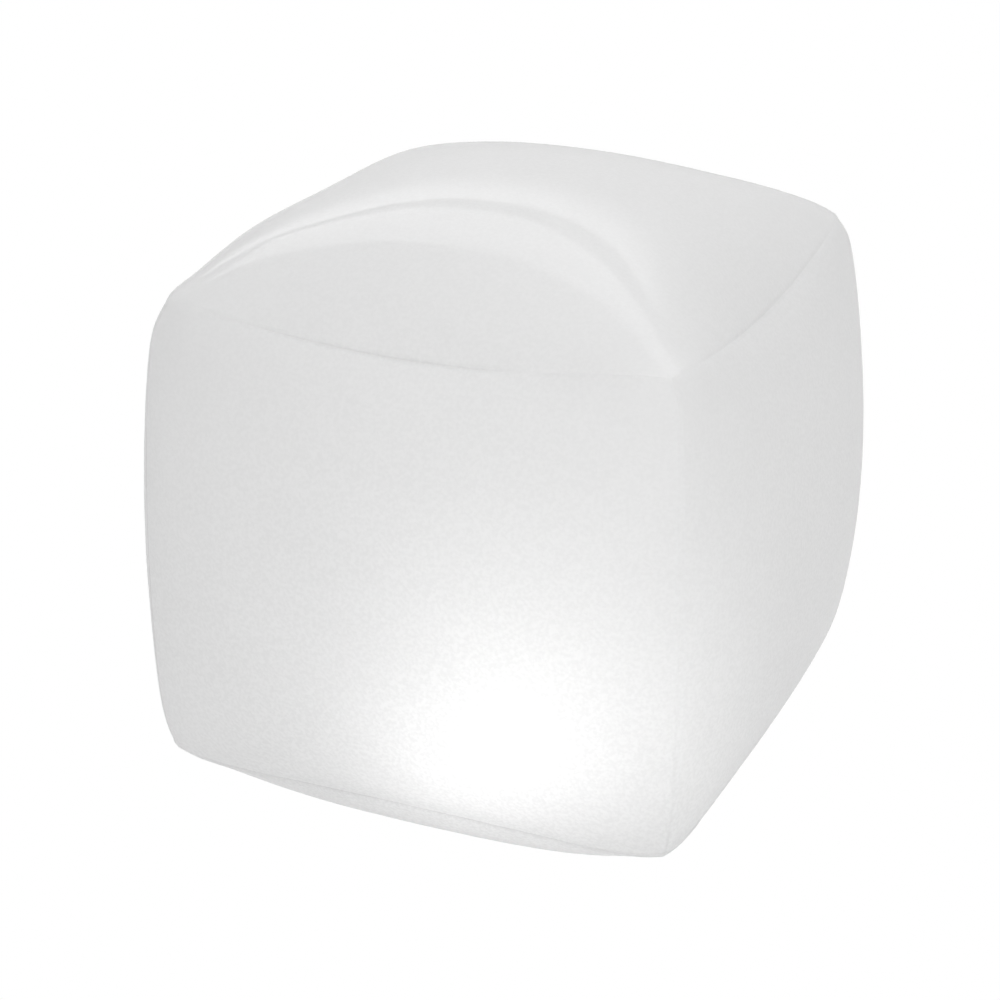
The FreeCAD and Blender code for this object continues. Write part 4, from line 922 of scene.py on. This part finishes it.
SKY_EVEN = 1.2                       # light of the room, the same from all sides
SKY_SIDES = (                        # and more from some: direction, strength, sharpness
    ((0, 0, 1), 0.4, 1.0),
    ((-0.8, -0.3, 0.6), 0.12, 3.0),
    ((1, 0.3, 0.2), 0.2, 2.0),
    ((-0.26, 0.96, 0.1), 0.5, 6.0),
)
FLOOR_GLOW = 1.31                    # light that the floor sends up
FLOOR_SIDE = 6.0
FLOOR_GAP = 0.2 * MM                 # below the cube's foot
BOX_AIM = Vector((0, 0, 0.2))        # what the boxes face, and from how far
BOX_DISTANCE = 1.6
SOFT_BOX_ENDS = ((146, 32), (58, 62))        # azimuth and elevation in degrees
SOFT_BOX_WIDTH = 20.0
SOFT_BOX_POWER = 5.1
STRIP_BOX_ENDS = ((139, 14.5), (76, 39.5))
STRIP_BOX_WIDTH = 15.0
STRIP_BOX_POWER = 4.0
FADE = (1.0, 0.0)                    # strength at the strip box's upper and lower edge


def seen_white(tree, light, seen):
    """A shader that lights the cube, but that the camera sees as the other one."""
    path = add(tree, "ShaderNodeLightPath")
    return mixed(tree, path.outputs["Is Camera Ray"], light.outputs[0], seen.outputs[0])


def lobe(tree, direction, strength, sharpness):
    """A soft light from one side of the room."""
    place = add(tree, "ShaderNodeTexCoord").outputs["Generated"]
    along = add(tree, "ShaderNodeVectorMath", {0: place, 1: Vector(direction).normalized()},
                operation="DOT_PRODUCT")
    facing = math_node(tree, "MAXIMUM", along.outputs["Value"], 0.0)
    return math_node(tree, "MULTIPLY", math_node(tree, "POWER", facing, sharpness), strength)


def make_sky():
    """The room's light, which the camera sees as plain white."""
    world = bpy.data.worlds.new("studio")
    bpy.context.scene.world = world
    world.use_nodes = True
    tree = world.node_tree
    tree.nodes.clear()
    total = SKY_EVEN
    for direction, strength, sharpness in SKY_SIDES:
        total = math_node(tree, "ADD", lobe(tree, direction, strength, sharpness), total)
    light = add(tree, "ShaderNodeBackground", {"Strength": total})
    seen = add(tree, "ShaderNodeBackground", {"Color": WHITE})
    add(tree, "ShaderNodeOutputWorld", {"Surface": seen_white(tree, light, seen)})


def make_floor():
    """A glowing floor, clear from below."""
    material, tree = new_material("floor")
    light = add(tree, "ShaderNodeEmission", {"Strength": FLOOR_GLOW})
    seen = add(tree, "ShaderNodeEmission", {"Strength": 1.0})
    clear = add(tree, "ShaderNodeBsdfTransparent")
    side = add(tree, "ShaderNodeNewGeometry")
    finish_surface(tree, mixed(tree, side.outputs["Backfacing"], seen_white(tree, light, seen),
                               clear.outputs[0]))
    reach = FLOOR_SIDE / 2
    corners = [(x * reach, y * reach, -FLOOR_GAP) for x, y in ((-1, -1), (1, -1), (1, 1), (-1, 1))]
    floor = new_mesh("floor", corners, [(0, 1, 2, 3)], material)


def degrees_direction(azimuth, elevation):
    """The direction with these angles in degrees, the azimuth from +X towards +Y."""
    azimuth, elevation = math.radians(azimuth), math.radians(elevation)
    return Vector((math.cos(azimuth) * math.cos(elevation),
                   math.sin(azimuth) * math.cos(elevation), math.sin(elevation)))


def make_box(name, ends, width, power):
    """A soft box whose length runs between two directions from the cube, as wide as the
    width in degrees."""
    start, end = (degrees_direction(*direction) for direction in ends)
    back = (start + end).normalized()
    along = (end - start).normalized()
    across = back.cross(along)
    light = bpy.data.lights.new(name, "AREA")
    light.shape = "RECTANGLE"
    light.size = 2 * BOX_DISTANCE * math.tan(start.angle(end) / 2)
    light.size_y = 2 * BOX_DISTANCE * math.tan(math.radians(width) / 2)
    light.energy = power
    lamp = bpy.data.objects.new(name, light)
    bpy.context.scene.collection.objects.link(lamp)
    axes = Matrix((along, across, back)).transposed().to_4x4()
    lamp.matrix_world = Matrix.Translation(BOX_AIM + back * BOX_DISTANCE) @ axes
    return light


def fade(light):
    """Makes a soft box bright along its upper edge and dark along its lower."""
    light.use_nodes = True
    tree = light.node_tree
    emission = next(node for node in tree.nodes if node.type == "EMISSION")
    place = add(tree, "ShaderNodeNewGeometry")
    split = add(tree, "ShaderNodeSeparateXYZ", {0: place.outputs["Parametric"]})
    tree.links.new(spread(tree, split.outputs["Y"], 0.0, 1.0, *FADE, True),
                   emission.inputs["Strength"])


def main():
    """Builds the lit scene round the CAD's solids."""
    place_camera()
    materials = make_materials()
    dress_nodes(materials)
    make_film(materials)
    make_screws(materials)
    make_sky()
    make_floor()
    make_box("soft_box", SOFT_BOX_ENDS, SOFT_BOX_WIDTH, SOFT_BOX_POWER)
    fade(make_box("strip_box", STRIP_BOX_ENDS, STRIP_BOX_WIDTH, STRIP_BOX_POWER))
    bpy.context.scene.view_settings.view_transform = "Standard"


main()
